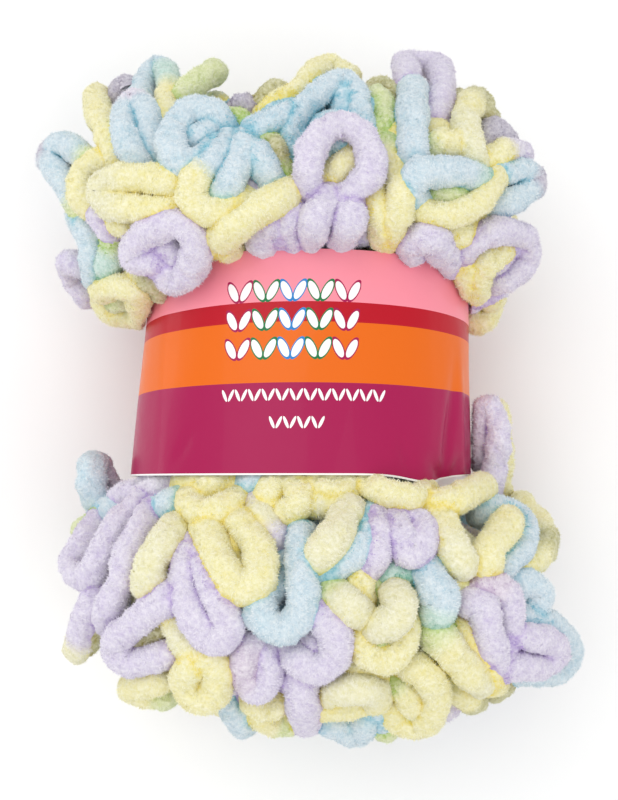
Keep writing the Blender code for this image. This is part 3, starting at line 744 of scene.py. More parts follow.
@dataclass(frozen=True)
class Winding:
    """The strand wound round a bunch's heart under its loops, from low on it upwards."""

    bunch: Bunch
    phase: float
    dyes: str = WOUND_DYES
    low: float = -62.0
    high: float = 22.0
    turns: float = 7.6
    radius: float = 4.8
    turn_steps: int = 120
    sides: int = 12
    sunk: float = 2.0
    wander: float = 1.1
    wander_waves: float = 7.1
    rise_wander: float = 0.03
    rise_waves: float = 5.3
    dye_change: tuple[float, float] = (0.2, 0.8)

    def course(self) -> Course:
        """Lay the strand in a spiral.

        Returns:
            Its course, with its dyes one after another along it.
        """
        way = np.linspace(0, 1, int(self.turns * self.turn_steps))
        angle = 2 * pi * self.turns * way + self.phase
        rise = np.radians(self.low + (self.high - self.low) * way)
        rise = rise + self.rise_wander * np.sin(self.rise_waves * angle)
        out = np.stack((np.cos(rise) * np.cos(angle), np.cos(rise) * np.sin(angle), np.sin(rise)), axis=-1)
        line = self.bunch.heart_middle() + out * self.bunch.heart_size(self.sunk)
        line = line + out * (self.wander * np.sin(self.wander_waves * angle))[:, None]
        key = way * (len(self.dyes) - 1)
        piece = np.minimum(key.astype(int), len(self.dyes) - 2)
        dyes = dye_numbers(self.dyes)
        return Course(line, out, np.full(len(line), self.radius), dyes[piece], dyes[piece + 1],
                      eased(key - piece, *self.dye_change), self.sides, self.phase, closed=False)


@dataclass(frozen=True)
class Pile:
    """The thickness and unevenness of the strand's plush pile."""

    swell: float = 0.06
    swells: int = 3
    lump_depth: float = 0.6
    lump_size: float = 8.0
    tuft_depth: float = 0.7
    tuft_size: float = 3.0
    fine_depth: float = 0.45
    fine_size: float = 1.5

    def thickness(self, course: Course) -> np.ndarray:
        """The strand's radius at each step, swelling and thinning along it."""
        way = 2 * pi * np.arange(len(course.line)) / len(course.line)
        return course.radius * (1 + self.swell * np.sin(self.swells * way + course.phase))

    def lumps(self, place: np.ndarray) -> float:
        """How far the strand is swollen or squeezed at a place."""
        return self.lump_depth * noise.noise(Vector(place / self.lump_size) + Vector((3.0, 9.0, 1.0)))

    def tufts(self, place: np.ndarray) -> float:
        """Find how far the pile stands out or in.

        Args:
            place: A place on the strand.

        Returns:
            The height of its tufts there.
        """
        coarse = noise.noise(Vector(place / self.tuft_size))
        fine = noise.noise(Vector(place / self.fine_size) + Vector((7.0, 3.0, 5.0)))
        return self.tuft_depth * coarse + self.fine_depth * fine


@dataclass
class Skin:
    """The joined skins of many strands, with what the pile on them needs to know."""

    places: np.ndarray
    middles: np.ndarray
    outward: np.ndarray
    along: np.ndarray
    owner: np.ndarray
    step: np.ndarray
    quads: np.ndarray
    first_dye: np.ndarray
    second_dye: np.ndarray
    dye_share: np.ndarray
    raised: np.ndarray
    # Share of painted shade at each place, from creases, the heart and tufts
    depth: np.ndarray = field(default_factory=lambda: np.zeros(0))
    covered: np.ndarray = field(default_factory=lambda: np.zeros(0, bool))

    def colours(self) -> np.ndarray:
        """Dye the skin and paint shade into it.

        Returns:
            The linear colour of each place, with painted shade between loops and near the heart.
        """
        flank, painted_shade = (
            np.array([linear(PASTELS[dye].colour(shade)) for dye in DYES])
            for shade in (Shade.FLANK, Shade.PAINTED_SHADE)
        )
        share = self.dye_share[:, None]
        lit = flank[self.first_dye] * (1 - share) + flank[self.second_dye] * share
        dim = painted_shade[self.first_dye] * (1 - share) + painted_shade[self.second_dye] * share
        return lit + (dim - lit) * self.depth[:, None]


@dataclass(frozen=True)
class Filling:
    """Sunken turns that close the gaps between the strands of a bunch's front."""

    count: int = 34
    length: float = 12.0
    lift: float = -10.0
    root_drop: float = 2.0
    spread: float = 0.61
    twist: float = 3.1
    lean: float = 20.0
    lowest_cover: float = -3.5
    highest_cover: float = 5.5
    phase_step: float = 0.9

    def courses(self, bunch: Bunch, rows: Sequence[StrandRow], clearance: float) -> list[Course]:
        """Lay the turns in a widening spiral, each in the dye of a strand near it.

        Args:
            bunch: The bunch that they grow from.
            rows: The table of the bunch.
            clearance: Room that they leave beside the band.

        Returns:
            The turns that are clear of the band and covered by a strand.
        """
        covers = [row for row in rows if row.highest() < self.highest_cover]
        turns = []
        for number in range(self.count):
            share = sqrt((number + 0.5) / self.count) * self.spread
            angle = number * GOLDEN_ANGLE
            x = bunch.x + bunch.reach_x * share * cos(angle)
            y = bunch.y + bunch.reach_y * share * sin(angle)
            half_x, half_y = (self.length / 2 * part(angle * self.twist) for part in (cos, sin))
            root = bunch.front_place(x - half_x, y - half_y, self.lift - self.root_drop)
            tip = bunch.front_place(x + half_x, y + half_y, self.lift)
            low = min(rows, key=lambda row: row.square_from(x, y)).highest() < self.lowest_cover
            if low or BAND.beside(tip, clearance) or BAND.beside(root, clearance):
                continue
            dyes = min(covers, key=lambda row: row.square_from(x, y)).dyes
            dye = dyes[len(dyes) // 2]
            turns.append(Turn(root, tip, radians(self.lean), 4 * dye, self.phase_step * number).course())
        return turns


@dataclass(frozen=True)
class PaintedCreaseShade:
    """Painted shade where strands meet and near a bunch's heart, lighter on raised tufts as a painted
    highlight.

    Levels are ways to another strand's middle in its radii, or out from a bunch's heart
    in the heart's size.
    """

    reach: float = 1.4
    own_reach: float = 2.5
    far: float = 2.0
    meet: float = 0.96
    apart: float = 1.3
    heart_edge: float = 1.22
    between_strands_shade: float = 0.8
    near_heart_shade: float = 0.6
    tuft_highlight: float = 0.4
    under_strand: float = 0.94
    under_heart: float = 0.98
    floor_touch: float = 0.05

    def levels(self, skin: Skin, courses: Sequence[Course], others: Sequence[Course]) -> np.ndarray:
        """Find how near the skin lies to strands that it isn't part of.

        Args:
            skin: The skin.
            courses: Its own strands, in the order that it numbers them.
            others: All other strands near it.

        Returns:
            The level of each place over the nearest strand.
        """
        every = [*courses, *others]
        points = [
            (owner, step) for owner, course in enumerate(every) for step in range(0, len(course.line), 2)
        ]
        tree = kdtree.KDTree(len(points))
        for number, (owner, step) in enumerate(points):
            tree.insert(every[owner].line[step], number)
        tree.balance()
        near_enough = self.reach * max(course.radius.max() for course in every)
        spacing = [np.linalg.norm(np.diff(course.line, axis=0), axis=1).mean() for course in courses]
        nearest = np.full(len(skin.places), self.far)
        for number, place in enumerate(skin.places):
            own, own_step = skin.owner[number], skin.step[number]
            for _, found, distance in tree.find_range(place, near_enough):
                owner, step = points[found]
                if owner == own:
                    apart = abs(step - own_step)
                    if every[own].closed:
                        apart = min(apart, len(every[own].line) - apart)
                    if apart * spacing[own] < self.own_reach * every[own].radius[own_step]:
                        continue
                nearest[number] = min(nearest[number], distance / every[owner].radius[step])
        return nearest

    def shade(self, skin: Skin, courses: Sequence[Course], others: Sequence[Course], bunch: Bunch) -> None:
        """Paint shade where places lie between strands or sunk near the heart, less on raised tufts, and find
        which are covered.

        Args:
            skin: The skin to finish.
            courses: Its own strands, in the order that it numbers them.
            others: All other strands near it.
            bunch: The bunch that they grow from.
        """
        nearest = self.levels(skin, courses, others)
        core = bunch.core_level(skin.places)
        crease = 1 - eased(nearest, self.meet, self.apart)
        sunk = 1 - eased(core, 1.0, self.heart_edge)
        # Painted shade: darker between strands and near the heart, lighter on raised tufts as a painted
        # highlight
        depth = self.between_strands_shade * crease + self.near_heart_shade * sunk - self.tuft_highlight * skin.raised
        skin.depth = np.clip(depth, 0, 1)
        under_paper = BAND.beside(skin.places, -0.5) & (BAND.across(skin.places) < 1)
        on_floor = skin.places[:, 2] <= FLOOR_GAP + self.floor_touch
        skin.covered = (nearest < self.under_strand) | (core < self.under_heart) | under_paper | on_floor


@dataclass(frozen=True)
class Yarn:
    """All strand of the skein and the skins made from it."""

    pile: Pile = Pile()
    filling: Filling = Filling()
    painted_crease_shade: PaintedCreaseShade = PaintedCreaseShade()
    clearance: float = 4.6
    near_band: float = 1.1
    hidden_lift: float = 2.0
    shown_phase: float = 1.7
    hidden_phase: float = 2.3

    def shown(self, bunch: Bunch, rows: Sequence[StrandRow]) -> list[Course]:
        """Strands of the front of a bunch, from its table."""
        return [Strand(row, bunch, self.shown_phase * number).course() for number, row in enumerate(rows)]

    def hidden(self, bunch: Bunch, first: int) -> list[Course]:
        """Turns of the ends, sides and back of a bunch.

        Args:
            bunch: The bunch that they grow from.
            first: Place in the run of dyes to begin at.

        Returns:
            The turns that are clear of the band.
        """
        turns = []
        for ring in HIDDEN_RINGS:
            middle = np.array((bunch.x, bunch.y, ring.height))
            for number in range(ring.count):
                angle = radians(ring.first_angle + 360 * number / ring.count)
                lean = radians(ring.lean * (1 if number % 2 else -1))
                out = np.array((bunch.reach_x * cos(angle), bunch.reach_y * sin(angle), 0))
                lift = -self.hidden_lift if number % 3 else self.hidden_lift
                root = middle + out * ring.root_share
                tip = middle + out * ring.tip_share + UP * lift
                if BAND.beside(tip, self.clearance) and BAND.across(tip) < self.near_band:
                    continue
                if np.hypot(tip[0] - NOTCH.x, tip[1] - NOTCH.y) < NOTCH.reach:
                    tip = root + (tip - root) * NOTCH.share
                dyes = HIDDEN_DYES[(first + len(turns)) % len(HIDDEN_DYES)]
                turns.append(Turn(root, tip, lean, dyes, self.hidden_phase * len(turns)).course())
        return turns

    def strand_skin(self, course: Course) -> dict[str, np.ndarray]:
        """Lay uneven pile round one strand.

        Args:
            course: How the strand runs.

        Returns:
            What a skin holds, by name, with places and faces numbered from 0.
        """
        sides, along = course.sides, course.heading()
        up = unit(course.upright - along * (along * course.upright).sum(axis=1, keepdims=True))
        side = np.cross(along, up)
        angle = (2 * pi * np.arange(sides) / sides)[None, :, None]
        outward = (side[:, None, :] * np.cos(angle) + up[:, None, :] * np.sin(angle)).reshape(-1, 3)
        middles = np.repeat(course.line, sides, axis=0)
        places = middles + outward * np.repeat(self.pile.thickness(course), sides)[:, None]
        raised = np.array([self.pile.tufts(place) for place in places])
        places += outward * (raised + [self.pile.lumps(place) for place in places])[:, None]
        by_step = {
            "along": along, "step": np.arange(len(along)), "first_dye": course.first_dye,
            "second_dye": course.second_dye, "dye_share": course.dye_share,
        }
        spread = {name: np.repeat(values, sides, axis=0) for name, values in by_step.items()}
        return {"places": places, "middles": middles, "outward": outward, "raised": raised,
                "quads": course.quads(), **spread}

    def skin(self, courses: Sequence[Course]) -> Skin:
        """Join the skins of strands.

        Args:
            courses: The strands of one piece.

        Returns:
            Their skins, flat on the floor and clear of the paper.
        """
        gathered: dict[str, list[np.ndarray]] = {}
        base = 0
        for owner, course in enumerate(courses):
            parts = self.strand_skin(course)
            parts["quads"] += base
            base += len(parts["places"])
            parts["owner"] = np.full(len(parts["places"]), owner)
            for name, values in parts.items():
                gathered.setdefault(name, []).append(values)
        skin = Skin(**{name: np.concatenate(values) for name, values in gathered.items()})
        skin.places = BAND.make_way(skin.places, skin.middles)
        skin.places[:, 2] = np.maximum(skin.places[:, 2], FLOOR_GAP)
        return skin


class Shader:
    """A material's node tree, with short ways to add to it."""

    def __init__(self, name: str) -> None:
        """Start a material with a Principled shader.

        Args:
            name: The material's name.
        """
        self.material = bpy.data.materials.new(name)
        self.material.use_nodes = True
        self.tree = self.material.node_tree
        self.surface = self.tree.nodes["Principled BSDF"]

    def node(self, kind: str, **settings: object) -> bpy.types.Node:
        """Add a node and set its properties.

        Args:
            kind: The node's type.
            **settings: Its properties by name.

        Returns:
            The node.
        """
        made = self.tree.nodes.new(kind)
        for name, value in settings.items():
            setattr(made, name, value)
        return made

    def feed(self, socket: Socket, value: object) -> None:
        """Link a socket to another, or set its own value.

        Args:
            socket: The input to feed.
            value: Another socket, or a number or colour.
        """
        if isinstance(value, Socket):
            self.tree.links.new(value, socket)
        else:
            socket.default_value = value

    def maths(self, operation: str, *values: object) -> Socket:
        """Add a math node.

        Args:
            operation: Its operation.
            *values: Sockets or numbers to feed it.

        Returns:
            Its result.
        """
        made = self.node("ShaderNodeMath", operation=operation)
        for socket, value in zip(made.inputs, values):
            self.feed(socket, value)
        return made.outputs[0]

    def mix(self, share: object, first: object, second: object, blend: str = "MIX") -> Socket:
        """Mix two colours.

        Args:
            share: Share of the second, a socket or number.
            first: First colour.
            second: Second colour.
            blend: How they mix.

        Returns:
            The mixed colour.
        """
        made = self.node("ShaderNodeMix", data_type="RGBA", blend_type=blend)
        for index, value in ((0, share), (6, first), (7, second)):
            self.feed(made.inputs[index], value)
        return made.outputs[2]

    def noise(self, scale: float, detail: float, roughness: float = 0.5) -> Socket:
        """Add noise in the object's own space.

        Args:
            scale: Turns to a metre.
            detail: How many finer layers it has.
            roughness: How strong they are.

        Returns:
            The noise, from 0 to 1.
        """
        made = self.node("ShaderNodeTexNoise")
        self.feed(made.inputs["Vector"], self.node("ShaderNodeTexCoord").outputs["Object"])
        for name, value in (("Scale", scale), ("Detail", detail), ("Roughness", roughness)):
            made.inputs[name].default_value = value
        return made.outputs["Fac"]

    def ramp(self, value: object, stops: Sequence[tuple[float, Sequence[float]]]) -> Socket:
        """Pick colours by steps.

        Args:
            value: Where on the ramp, a socket or number.
            stops: Where each colour starts, and the linear colour.

        Returns:
            The colour.
        """
        made = self.node("ShaderNodeValToRGB")
        ramp = made.color_ramp
        ramp.interpolation = "CONSTANT"
        while len(ramp.elements) < len(stops):
            ramp.elements.new(0.5)
        for element, (place, colour) in zip(ramp.elements, stops):
            element.position = place
            element.color = opaque(colour)
        self.feed(made.inputs[0], value)
        return made.outputs["Color"]

    def set(self, **values: object) -> None:
        """Set or link the shader's sockets, with underscores for spaces in their names."""
        for name, value in values.items():
            self.feed(self.surface.inputs[name.replace("_", " ")], value)

    def bump(self, height: Socket, strength: float, distance: float) -> None:
        """Give the surface relief.

        Args:
            height: The relief.
            strength: Its strength.
            distance: Its depth in metres.
        """
        made = self.node("ShaderNodeBump")
        for name, value in (("Strength", strength), ("Distance", distance), ("Height", height)):
            self.feed(made.inputs[name], value)
        self.set(Normal=made.outputs["Normal"])


@dataclass(frozen=True)
class PlushFinish:
    """The dense pile under the loose fibres: dyed along the strand with painted crease shade, mottled at
    random and soft; the mottle follows the bump, painting raised pile lighter as a highlight and its dips
    darker as shade.
    """

    mottle_scale: float = 900.0
    mottle_contrast: float = 2.4
    mottle_shift: float = -0.7
    dip_shade: float = 0.5
    frost_highlight: float = 0.35
    # Colour of the painted frosted highlight on raised pile
    light: Colour = (255, 253, 250)
    tuft_scale: float = 420.0
    tuft_share: float = 0.6
    bump_strength: float = 0.8
    bump_depth: float = 0.0006
    sheen: float = 0.35

    def material(self) -> bpy.types.Material:
        """Make the material, which reads the dye and its painted shade from the mesh.

        Returns:
            The material.
        """
        shader = Shader("plush_pile")
        dye = shader.node("ShaderNodeAttribute", attribute_name="dye").outputs["Color"]
        fine = shader.noise(self.mottle_scale, 3, 0.6)
        coarse = shader.noise(self.tuft_scale, 2)
        # Random mottle that follows the bump: painted highlight on raised pile, painted shade in its dips
        dark = shader.mix(self.dip_shade, dye, dye, "MULTIPLY")
        light = shader.mix(self.frost_highlight, dye, opaque(linear(self.light)))
        share = shader.maths("MULTIPLY_ADD", fine, self.mottle_contrast, self.mottle_shift)
        share = shader.maths("MINIMUM", shader.maths("MAXIMUM", share, 0.0), 1.0)
        relief = shader.maths("ADD", shader.maths("MULTIPLY", coarse, self.tuft_share), fine)
        shader.set(Base_Color=shader.mix(share, dark, light), Roughness=0.95, Sheen_Weight=self.sheen,
                   Sheen_Roughness=0.4, Specular_IOR_Level=0.1)
        shader.bump(relief, self.bump_strength, self.bump_depth)
        return shader.material


@dataclass(frozen=True)
class FibreFinish:
    """Single fibres of the pile, a material for each dye with its painted highlight, flank and painted shade
    tones.
    """

    sheen: float = 0.4
    roughness: float = 0.7

    def materials(self) -> list[bpy.types.Material]:
        """Make the materials.

        Returns:
            The materials, painted highlight, flank and painted shade within each dye.
        """
        made = []
        for dye in DYES:
            for shade in Shade:
                shader = Shader(f"fibre_{dye.name}_{shade.name}".lower())
                colour = opaque(linear(PASTELS[dye].colour(shade)))
                shader.set(Base_Color=colour, Roughness=self.roughness, Sheen_Weight=self.sheen,
                           Sheen_Roughness=0.3, Specular_IOR_Level=0.2)
                made.append(shader.material)
        return made


def add_piece(name: str, mesh: bpy.types.Mesh, node: str) -> None:
    """Put a mesh in the scene as a piece that stands for a node of the frame.

    Args:
        name: The piece's name.
        mesh: Its mesh.
        node: The node it stands for.
    """
    piece = bpy.data.objects.new(name, mesh)
    bpy.context.scene.collection.objects.link(piece)
    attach(piece, "root")
    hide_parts(node)
    log.info("%s: %d faces", name, len(mesh.polygons))


def fast_mesh(name: str, places: np.ndarray, faces: np.ndarray) -> bpy.types.Mesh:
    """Make a mesh from arrays.

    Args:
        name: The mesh's name.
        places: Its places in millimetres, before the frame's shift.
        faces: Corners of its faces, all with the same number of corners.

    Returns:
        The mesh.
    """
    mesh = bpy.data.meshes.new(name)
    mesh.vertices.add(len(places))
    mesh.vertices.foreach_set("co", ((places + SHIFT) * MM).astype(np.float32).ravel())
    corners = faces.shape[1]
    mesh.loops.add(faces.size)
    mesh.loops.foreach_set("vertex_index", faces.astype(np.int32).ravel())
    mesh.polygons.add(len(faces))
    mesh.polygons.foreach_set("loop_start", np.arange(0, faces.size, corners, dtype=np.int32))
    mesh.polygons.foreach_set("loop_total", np.full(len(faces), corners, dtype=np.int32))
    mesh.update(calc_edges=True)
    return mesh


def paint(mesh: bpy.types.Mesh, colours: np.ndarray) -> None:
    """Colour a mesh's vertices, painted shade included.

    Args:
        mesh: The mesh.
        colours: The linear colour of each vertex, with its painted shade.
    """
    layer = mesh.color_attributes.new("dye", "FLOAT_COLOR", "POINT")
    with_alpha = np.concatenate((colours, np.ones((len(colours), 1))), axis=1)
    layer.data.foreach_set("color", with_alpha.astype(np.float32).ravel())


@dataclass(frozen=True)
class Fuzz:
    """The loose fibres that stand out of the pile."""

    width: float = 0.26
    shortest: float = 0.6
    longest: float = 1.25
    lean_low: float = 32.0
    lean_high: float = 74.0
    sunk: float = 0.2
    along_share: float = 0.25
    unevenness: float = 0.14
    # Shade share above which a fibre takes painted shade, and below which it takes the painted highlight
    painted_shade_from: float = 0.5
    painted_highlight_below: float = 0.08

    def fibres(self, skin: Skin, spot: np.ndarray, chance: np.random.Generator) -> np.ndarray:
        """Stand a fibre somewhere on each of the faces picked.

        Args:
            skin: The skin, shaded.
            spot: Vertex numbers of the faces, one for each fibre.
            chance: The random run.

        Returns:
            The corners of the fibres, three for each.
        """
        count = len(spot)
        u, v = chance.random((2, count, 1))
        weights = np.stack(((1 - u) * (1 - v), u * (1 - v), u * v, (1 - u) * v), axis=1)
        place = (skin.places[spot] * weights).sum(axis=1)
        normal = unit((skin.outward[spot] * weights).sum(axis=1))
        along = unit((skin.along[spot] * weights).sum(axis=1))
        turn = chance.random((count, 1)) * 2 * pi
        lean = np.radians(chance.uniform(self.lean_low, self.lean_high, (count, 1)))
        lying = unit(along * np.cos(turn) * self.along_share + np.cross(normal, along) * np.sin(turn))
        way = normal * np.cos(lean) + lying * np.sin(lean)
        broad = unit(np.cross(way, normal)) * self.width / 2
        root = place - normal * self.sunk
        tip = root + way * chance.uniform(self.shortest, self.longest, (count, 1))
        corners = np.stack((root - broad, root + broad, tip), axis=1).reshape(-1, 3)
        corners[:, 2] = np.maximum(corners[:, 2], FLOOR_GAP / 2)
        return corners

    def slots(self, skin: Skin, first: np.ndarray, chance: np.random.Generator) -> np.ndarray:
        """Choose each fibre's dye and its painted highlight, flank or painted shade tone.

        Args:
            skin: The skin, shaded.
            first: The vertex that each fibre stands beside.
            chance: The random run.

        Returns:
            Numbers of the fibres' materials.
        """
        second = chance.random(len(first)) < skin.dye_share[first]
        dye = np.where(second, skin.second_dye[first], skin.first_dye[first])
        # Painted shade in creases and painted highlight on raised pile, from the skin's shade share
        depth = skin.depth[first] + chance.normal(0, self.unevenness, len(first))
        lit = np.where(depth > self.painted_highlight_below, Shade.FLANK.value, Shade.TIP.value)
        return dye * len(Shade) + np.where(depth > self.painted_shade_from, Shade.PAINTED_SHADE.value, lit)

    def piece(self, name: str, skin: Skin, count: int, materials: Sequence[bpy.types.Material],
              seed: int) -> None:
        """Strew fibres over a skin.

        Args:
            name: The piece's name.
            skin: The skin, shaded.
            count: How many fibres.
            materials: The fibres' materials, painted highlight, flank and painted shade within each dye.
            seed: Start of the random run.
        """
        chance = np.random.default_rng(seed)
        quads = skin.quads[~skin.covered[skin.quads].any(axis=1)]
        corners = skin.places[quads]
        square = np.cross(corners[:, 2] - corners[:, 0], corners[:, 3] - corners[:, 1])
        area = np.linalg.norm(square, axis=1)
        spot = quads[chance.choice(len(quads), size=count, p=area / area.sum())]
        fibres = self.fibres(skin, spot, chance)
        mesh = fast_mesh(name, fibres, np.arange(3 * count).reshape(-1, 3))
        for material in materials:
            mesh.materials.append(material)
        slots = self.slots(skin, spot[:, 0], chance)
        mesh.polygons.foreach_set("material_index", slots.astype(np.int32))
        add_piece(name, mesh, "skein")


@dataclass(frozen=True)
class Heart:
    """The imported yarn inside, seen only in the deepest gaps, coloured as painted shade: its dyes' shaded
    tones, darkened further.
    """

    waist_sides: int = 96
    waist_steps: int = 40
    waist_slack: float = 1.4
    waist_fall: float = 1.5
    paper_cover: float = 4.0
    ball_sides: int = 96
    ball_rows: int = 48
    sunk: float = 2.0
    relief: float = 1.2
    relief_size: float = 7.0
    hue_size: float = 14.0
    hues: tuple[Dye, ...] = (Dye.YELLOW, Dye.LAVENDER, Dye.BLUE, Dye.KHAKI_SHADE)
    # How far the painted shade of the heart is darkened further
    light: float = 0.7

    def waist(self) -> tuple[np.ndarray, np.ndarray]:
        """Shape the drawn-in yarn under the band.

        Returns:
            Its places and faces.
        """
        angle = 2 * pi * np.arange(self.waist_sides) / self.waist_sides
        low, high = (BAND.bottom.y + BOTTOM_BUNCH.y) / 2, (BAND.top.y + TOP_BUNCH.y) / 2
        rings = []
        for step in range(self.waist_steps + 1):
            y = low + (high - low) * step / self.waist_steps
            middle, half_width, half_depth = BAND.section(BAND.share_at(y))
            clear = max(0.0, BAND.bottom.y + self.paper_cover - y, y - BAND.top.y + self.paper_cover)
            slack = self.waist_slack + self.waist_fall * clear
            x = middle + (half_width - slack) * np.cos(angle)
            z = MIDDLE_HEIGHT + (half_depth - slack) * np.sin(angle)
            rings.append(np.stack((x, np.full(self.waist_sides, y), z), axis=-1))
        ring = np.arange(len(rings) * self.waist_sides).reshape(len(rings), -1)
        return np.concatenate(rings), tube_faces(ring[:-1], ring[1:])[:, TURNED_OVER]

    def ball(self, bunch: Bunch) -> tuple[np.ndarray, np.ndarray]:
        """Shape one bunch's heart, lumpy like packed strand.

        Args:
            bunch: The bunch.

        Returns:
            Its places and faces.
        """
        turn = 2 * pi * np.arange(self.ball_sides) / self.ball_sides
        rise = pi * (np.arange(self.ball_rows + 1) / self.ball_rows - 0.5)
        rise, turn = np.meshgrid(rise, turn, indexing="ij")
        way = np.stack((np.cos(rise) * np.cos(turn), np.cos(rise) * np.sin(turn), np.sin(rise)), axis=-1)
        way = way.reshape(-1, 3)
        places = way * bunch.heart_size(self.sunk) + bunch.heart_middle()
        lumps = np.array([noise.noise(Vector(place / self.relief_size)) for place in places])
        places = places + way * (self.relief * lumps)[:, None]
        places[:, 2] = np.maximum(places[:, 2], FLOOR_GAP)
        ring = np.arange(len(places)).reshape(-1, self.ball_sides)
        return places, tube_faces(ring[:-1], ring[1:])

    def piece(self, material: bpy.types.Material) -> None:
        """Build the hearts of both bunches and the waist between them.

        Args:
            material: The finish of the pile.
        """
        parts = (self.ball(TOP_BUNCH), self.ball(BOTTOM_BUNCH), self.waist())
        places = np.concatenate([part[0] for part in parts])
        starts = np.cumsum([0, *(len(part[0]) for part in parts[:-1])])
        faces = np.concatenate([part[1] + start for part, start in zip(parts, starts)])
        mesh = fast_mesh("packed_yarn", places, faces)
        # Painted shade: the heart takes the shaded tones of its dyes, darkened further
        painted_shade = np.array([linear(PASTELS[dye].painted_shade) for dye in self.hues])
        hue = np.array([noise.noise(Vector(place / self.hue_size)) for place in places])
        number = np.clip(((hue + 0.5) * len(painted_shade)).astype(int), 0, len(painted_shade) - 1)
        paint(mesh, painted_shade[number] * self.light)
        mesh.materials.append(material)
        mesh.shade_smooth()
        add_piece("packed_yarn", mesh, "skein")


class Ink(Enum):
    """Printed colours of the band, as displayed."""

    PLUM = (166, 22, 80)
    ORANGE = (230, 106, 18)
    CRIMSON = (184, 12, 34)
    PINK = (246, 145, 161)
    WHITE = (250, 248, 246)
    LEAF = (30, 120, 70)
    SKY = (40, 130, 200)


@dataclass(frozen=True)
class StitchPatch:
    """A patch of knit stitches printed on the band, placed from the front's middle."""

    middle: float
    height: float
    columns: int
    rows: int
    pitch: float
    row_pitch: float
    leaf_long: float
    leaf_wide: float
    slant: float = 27.0
    fill_share: float = 0.62

    def window(self, shader: Shader, column: Socket, row: Socket) -> Socket:
        """Mark the patch.

        Args:
            shader: The shader to add nodes to.
            column: Columns from the patch's left edge.
            row: Rows from its low edge.

        Returns:
            A mask of the patch.
        """
        window = None
        for value, count in ((column, self.columns), (row, self.rows)):
            for test, edge in (("GREATER_THAN", 0.0), ("LESS_THAN", float(count))):
                inside = shader.maths(test, value, edge)
                window = inside if window is None else shader.maths("MULTIPLY", window, inside)
        return window

    def level(self, shader: Shader, column: Socket, row: Socket) -> Socket:
        """Draw the two leaves of a stitch in each cell.

        Args:
            shader: The shader to add nodes to.
            column: Columns from the patch's left edge.
            row: Rows from its low edge.

        Returns:
            How far out a place is from the middle of its leaf, whose edge is at 1.
        """
        maths = shader.maths
        half = maths("ABSOLUTE", maths("SUBTRACT", maths("FRACT", column), 0.5))
        x = maths("MULTIPLY_ADD", half, self.pitch, -self.pitch / 4)
        y = maths("MULTIPLY", maths("SUBTRACT", maths("FRACT", row), 0.5), self.row_pitch)
        across, up = cos(radians(self.slant)), sin(radians(self.slant))
        wide = maths("SUBTRACT", maths("MULTIPLY", x, across), maths("MULTIPLY", y, up))
        long = maths("ADD", maths("MULTIPLY", x, up), maths("MULTIPLY", y, across))
        wide, long = (
            maths("POWER", maths("ABSOLUTE", maths("DIVIDE", value, size / 2)), 2.0)
            for value, size in ((wide, self.leaf_wide), (long, self.leaf_long))
        )
        return maths("ADD", wide, long)

    def masks(self, shader: Shader, arc: Socket, rise: Socket) -> tuple[Socket, Socket, Socket]:
        """Mark the stitches and their outlines.

        Args:
            shader: The shader to add nodes to.
            arc: Millimetres round the band from the front's middle.
            rise: Millimetres up from its bottom edge.

        Returns:
            Masks of the fill and of the whole stitches, and the share across the patch.
        """
        left = self.middle - self.columns * self.pitch / 2
        low = self.height - self.rows * self.row_pitch / 2
        column = shader.maths("DIVIDE", shader.maths("SUBTRACT", arc, left), self.pitch)
        row = shader.maths("DIVIDE", shader.maths("SUBTRACT", rise, low), self.row_pitch)
        window, level = self.window(shader, column, row), self.level(shader, column, row)
        fill, whole = (
            shader.maths("MULTIPLY", shader.maths("LESS_THAN", level, edge), window)
            for edge in (self.fill_share, 1.0)
        )
        return fill, whole, shader.maths("DIVIDE", column, float(self.columns))


